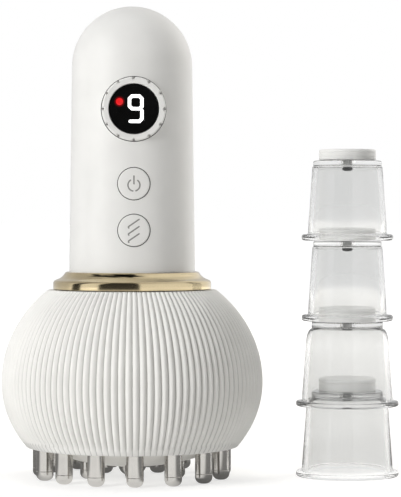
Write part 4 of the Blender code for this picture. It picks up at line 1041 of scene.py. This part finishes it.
def build_bezel(finish, dark):
    """The bezel: a flat band with a rounded shoulder and twelve small notches in its edge, each with a dark
    dot in its bottom as painted shade.
    """
    radius = reach("display_bezel")
    face, back = -low("display_bezel").y, -high("display_bezel").y
    inner = reach("display_lens") + FIT
    flat_start, flat_end = inner + BEZEL_INNER_BAND, radius - BEZEL_BAND_ROUND
    corners = [(inner, face - BEZEL_CHAMFER), (inner + BEZEL_CHAMFER, face), (flat_start, face)]
    corners += [(mixed(flat_start, flat_end, at / BEZEL_ROWS), face) for at in range(1, BEZEL_ROWS + 1)]
    corners += arc(BEZEL_BAND_ROUND, BEZEL_ROUND_END, 0, BEZEL_ROUND_ROWS,
                   (flat_end, face - BEZEL_BAND_ROUND))
    corners += [(radius, face - BEZEL_SIDE), (radius, back), (inner, back)]

    def notch(out, up, turn):
        nearest = round(turn / math.tau * NOTCH_TURNS) * math.tau / NOTCH_TURNS
        away = math.hypot(out - radius + NOTCH_INSET, radius * (turn - nearest))
        share = max(1 - (away / NOTCH_RADIUS) ** 2, 0)
        return out, up - NOTCH_DEPTH * math.sqrt(share) if up > face - NOTCH_FLOOR else up

    ring = moved(turned(corners, BEZEL_COLUMNS, notch), to_front(DISPLAY_Z))
    add_piece("display_bezel_ring", ring, "handle", finish, ["display_bezel"])
    # Dark dots in the notches' bottoms, in the marks' grey: painted shade
    shoulder = (DIMPLE_RADIUS * DIMPLE_SHOULDER_OUT, DIMPLE_RISE * DIMPLE_SHOULDER_UP)
    outline = [(0, DIMPLE_RISE), shoulder, (DIMPLE_RADIUS, 0), (0, 0)]
    painted_shade_dots = bmesh.new()
    for at in range(NOTCH_TURNS):
        turn = math.tau * at / NOTCH_TURNS
        spot = Vector((math.cos(turn), math.sin(turn), 0)) * (radius - NOTCH_INSET)
        spot.z = face - NOTCH_DEPTH
        dot = mesh_from(shifted(turned(outline, DIMPLE_COLUMNS), spot), "dimple")
        painted_shade_dots.from_mesh(dot)
        bpy.data.meshes.remove(dot)
    add_piece("display_bezel_painted_shade_dots", moved(painted_shade_dots, to_front(DISPLAY_Z)), "handle", dark)


def build_lens(finish):
    """The dark window, very slightly crowned."""
    radius = reach("display_lens")
    face, back = -low("display_lens").y, -high("display_lens").y
    shares = [at / LENS_ROWS for at in range(LENS_ROWS + 1)]
    front = [((radius - LENS_CHAMFER) * share, face - LENS_CROWN * share ** 2) for share in shares]
    outline = [*front, (radius, face - LENS_CROWN - LENS_CHAMFER), (radius, back), (0, back)]
    body = moved(turned(outline, LENS_COLUMNS), to_front(DISPLAY_Z))
    add_piece("display_window", body, "handle", finish, ["display_lens"])


def digit_lines():
    """A seven-segment 9 as centre lines, with cut corners."""
    w, h, c = DIGIT_HALF_WIDTH, DIGIT_HALF_HEIGHT, DIGIT_CORNER
    joint = c * DIGIT_JOINT
    upper = [(-w, c), (-w, h - c), (-w + c, h), (w - c, h), (w, h - c), (w, joint), (w - joint, 0),
             (-w + c, 0)]
    lower = [(w, -c * DIGIT_GAP), (w, -h + c), (w - c, -h), (-w + c * DIGIT_TAIL, -h)]
    return upper, lower


def build_digit(white, red):
    """The lit digit and the lit dot, standing a hair over the window."""
    face = low("display_lens").y
    bm = bmesh.new()
    for line, closed in zip(digit_lines(), (True, False)):
        line = [(x + DIGIT_X, z + DIGIT_Z + DISPLAY_Z) for x, z in line]
        ribbon(bm, line, DIGIT_STROKE, lambda x, z: face, DIGIT_LIFT, closed)
    add_piece("lit_digit", bm, "handle", white)
    crown = [(DOT_RADIUS * share, rise) for share, rise in DOT_CROWN]
    dot = moved(turned(crown, SMALL_COLUMNS), to_front(DISPLAY_Z))
    add_piece("lit_dot", shifted(dot, Vector((DOT_X, face, DOT_Z))), "handle", red)


def button_face(node):
    """The rule for a button's face: it follows the barrel's curve, dished by a hair in its middle."""
    height = middle(node).z
    front = low(node).y
    radius = CONTROL_HOLES[node]

    def face(x, z):
        dish = BUTTON_DISH * max(1 - (x * x + (z - height) ** 2) / radius ** 2, 0)
        return -chord(-front, x) + dish

    return face


def build_button(node, body, finish):
    """A round key whose face follows the barrel, with a softly rounded edge."""
    radius = CONTROL_HOLES[node]
    height = middle(node).z
    face, back = button_face(node), high(node).y
    stem_start = mixed(face(0, height), back, BUTTON_STEM_START)
    leans = [math.radians(lean) for lean in BUTTON_LEANS]
    outline = [(radius * at / BUTTON_ROWS, 0.0) for at in range(1, BUTTON_FLAT_ROWS + 1)]
    outline += [(radius - BUTTON_ROUND + BUTTON_ROUND * math.sin(lean), BUTTON_ROUND * (1 - math.cos(lean)))
                for lean in leans]
    outline += [(radius, BUTTON_SKIRT), (radius - BUTTON_STEP, None), (BUTTON_STEM, None)]
    bm = bmesh.new()
    rows = [[bm.verts.new((DEVICE.x, face(0, height), height))]]
    for out, drop in outline:
        row = []
        for at in range(BUTTON_COLUMNS):
            turn = math.tau * at / BUTTON_COLUMNS
            x, z = out * math.cos(turn), height + out * math.sin(turn)
            y = stem_start if drop is None else face(x, z) + drop
            row.append(bm.verts.new((DEVICE.x + x, y, z)))
        rows.append(row)
    rows.append([bm.verts.new((vertex.co.x, back, vertex.co.z)) for vertex in rows[-1]])
    for row, after in zip(rows, rows[1:]):
        bridge(bm, row, after)
    bm.faces.new(rows[-1])
    add_piece(node + "_key", bm, body, finish, [node])


def build_sign(name, node, body, strokes, finish, taper=(1, 1)):
    """A thin mark on a key, from strokes of (x, z) points about the key's middle."""
    height = middle(node).z
    bm = bmesh.new()
    for stroke in strokes:
        line = [(x, height + z) for x, z in stroke]
        ribbon(bm, line, ICON_STROKE, button_face(node), ICON_LIFT, taper=taper)
    add_piece(name, bm, body, finish)


def build_signs(finish):
    """Thin grey marks on the keys: a power sign, and three slanted strokes for the modes."""
    bar = [(0, mixed(*POWER_BAR, at / POWER_BAR_STEPS)) for at in range(POWER_BAR_STEPS + 1)]
    arcs = [arc(POWER_RADIUS, start, end, POWER_ARC_STEPS, (0, POWER_CENTRE)) for start, end in POWER_ARCS]
    build_sign("power_sign", "power_button", "power_key", [bar, *arcs], finish)
    slant = [[mixed(start, end, at / MODE_STEPS) for start, end in zip(MODE_START, MODE_END)]
             for at in range(MODE_STEPS + 1)]
    strokes = [[(x, rise + z) for x, z in MODE_HOOK + slant] for rise in MODE_RISES]
    build_sign("mode_sign", "mode_button", "mode_key", strokes, finish, MODE_TAPER)


# Cups

@functools.cache
def cup_kind(number):
    """A cup's own sizes, read from its nodes and from how cups of its kind are made."""
    shell = f"cup_{number}_shell"
    large = number in LARGE_CUPS
    kind = LARGE_CUP if large else SMALL_CUP
    foot = low(shell).z
    wall_foot = reach(shell) - kind["flare"]
    shoulder = wall_foot - kind["taper"]
    return SimpleNamespace(
        shell=shell, large=large, rim=reach(shell), foot=foot, top=high(shell).z, thick=kind["thick"],
        rim_top=foot + kind["thick"], wall_foot=wall_foot, bore=wall_foot - kind["bore"], shoulder=shoulder,
        shoulder_z=foot + kind["shoulder_z"], collar=shoulder - kind["collar"],
        collar_z=foot + kind["collar_z"], rows=kind["rows"])


def build_cup(number, finish):
    """A clear cup: rounded flared rim, tapered wall, full shoulder and a collar round the valve."""
    cup = cup_kind(number)
    width, rise = cup.shoulder - cup.collar, cup.collar_z - cup.shoulder_z
    leans = [math.pi / 2 * at / cup.rows for at in range(cup.rows + 1)]
    shoulder = [(cup.collar + width * math.sin(lean), cup.shoulder_z + rise * math.cos(lean))
                for lean in leans]
    ceiling = cup.top - CUP_WALL
    collar = cup.collar - CUP_WALL
    if cup.large:
        vault = [(collar + width * math.sin(lean), mixed(cup.shoulder_z, ceiling, math.cos(lean)))
                 for lean in reversed(leans)]
    else:
        vault = [(cup.shoulder - CUP_WALL, cup.shoulder_z), (collar, ceiling, VAULT_ROUND)]
    edge = cup.thick * RIM_ROUND_SHARE
    corners = [(VALVE_HOLE, cup.top, VALVE_HOLE_ROUND), (cup.collar, cup.top, COLLAR_ROUND), *shoulder,
               (cup.wall_foot, cup.rim_top, WALL_FOOT_ROUND), (cup.rim, cup.rim_top, edge),
               (cup.rim, cup.foot, edge), (cup.bore, cup.foot, WALL_FOOT_ROUND),
               (cup.wall_foot - CUP_WALL - FIT, cup.rim_top, WALL_INSIDE_ROUND), *vault,
               (VALVE_HOLE, ceiling)]
    body = "head" if number == 1 else f"cup_{number}"
    shape = shifted(turned(eased(corners), CUP_COLUMNS), STACK)
    add_piece(f"cup_{number}_clear", shape, body, finish, [cup.shell])


def build_cap(number, finish):
    """The white knob with its grooves and, on a small cup, its dished top."""
    cup, cap = cup_kind(number), f"cup_{number}_cap"
    seat, top = cup.top + FIT, high(cap).z
    radius, stem_end = reach(cap), low(cap).z
    crown = LARGE_CROWN if cup.large else SMALL_CROWN
    corners = [(radius * out, top - CAP_DISH * down) for out, down in crown] + [(radius, top, CAP_EDGE)]
    for share in LARGE_LINES if cup.large else SMALL_LINES:
        height = mixed(top, seat, share)
        corners += [(radius, height + CAP_LINE), (radius - CAP_LINE, height), (radius, height - CAP_LINE)]
    corners += [(radius, seat, CAP_FOOT_ROUND), (STEM_RADIUS, seat), (STEM_RADIUS, stem_end), (0, stem_end)]
    shape = shifted(turned(eased(corners), CAP_COLUMNS), STACK)
    add_piece(f"cup_{number}_knob", shape, f"cup_{number}_valve", finish, [cap])


def build_valve(number, rubber):
    """The black rubber end of a cap's stem."""
    node = f"cup_{number}_valve_bulb"
    end, start = span(node)
    rows = [(0, 0), *VALVE_SHOULDER]
    for lean in VALVE_LEANS:
        turn = math.radians(lean)
        rows.append((math.cos(turn), VALVE_SHOULDER[-1][1] + VALVE_TIP * math.sin(turn)))
    outline = [(reach(node) * out, start - (start - end) * down) for out, down in rows] + [(0, end)]
    shape = shifted(turned(outline, VALVE_COLUMNS), STACK)
    add_piece(f"cup_{number}_rubber_end", shape, f"cup_{number}_valve", rubber, [node])


# Everything

def dress_nodes(made):
    """Puts its slot's finish on every CAD node that stays shown, and smooths its round faces."""
    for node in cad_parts.values():
        slot = node.data.materials[0].name
        node.data.materials.clear()
        node.data.materials.append(made[slot])
        smooth(node.data)


def build():
    """Dresses the frame, lights it and looks at it."""
    made = finishes()
    dress_nodes(made)
    build_bulb(made["bulb"])
    build_plate(made["plate"])
    build_pins(made["pins"])
    build_ring(made["gold_trim"])
    build_barrel(made["housing"])
    build_hole_edges(made["housing"])
    build_gaskets(made["black_rubber"])
    # The marks' grey also paints shade into the bezel's notches
    build_bezel(made["housing"], made["mark"])
    build_lens(made["display_glass"])
    build_digit(lit("lit_digit_finish", DIGIT_WHITE, DIGIT_EDGE, strength=1.0),
                lit("lit_dot_finish", DOT_RED, DOT_EDGE, strength=0.52))
    build_button("power_button", "power_key", made["housing"])
    build_button("mode_button", "mode_key", made["housing"])
    build_signs(made["mark"])
    for number in (1, 2, 3, 4):
        build_cup(number, clear_plastic(number))
        build_cap(number, made["cap"])
        build_valve(number, made["black_rubber"])
    studio_world()
    studio_floor()
    for lamp in LAMPS:
        add_lamp(*lamp)
    add_camera()
    bpy.context.scene.view_settings.view_transform = "Standard"


build()
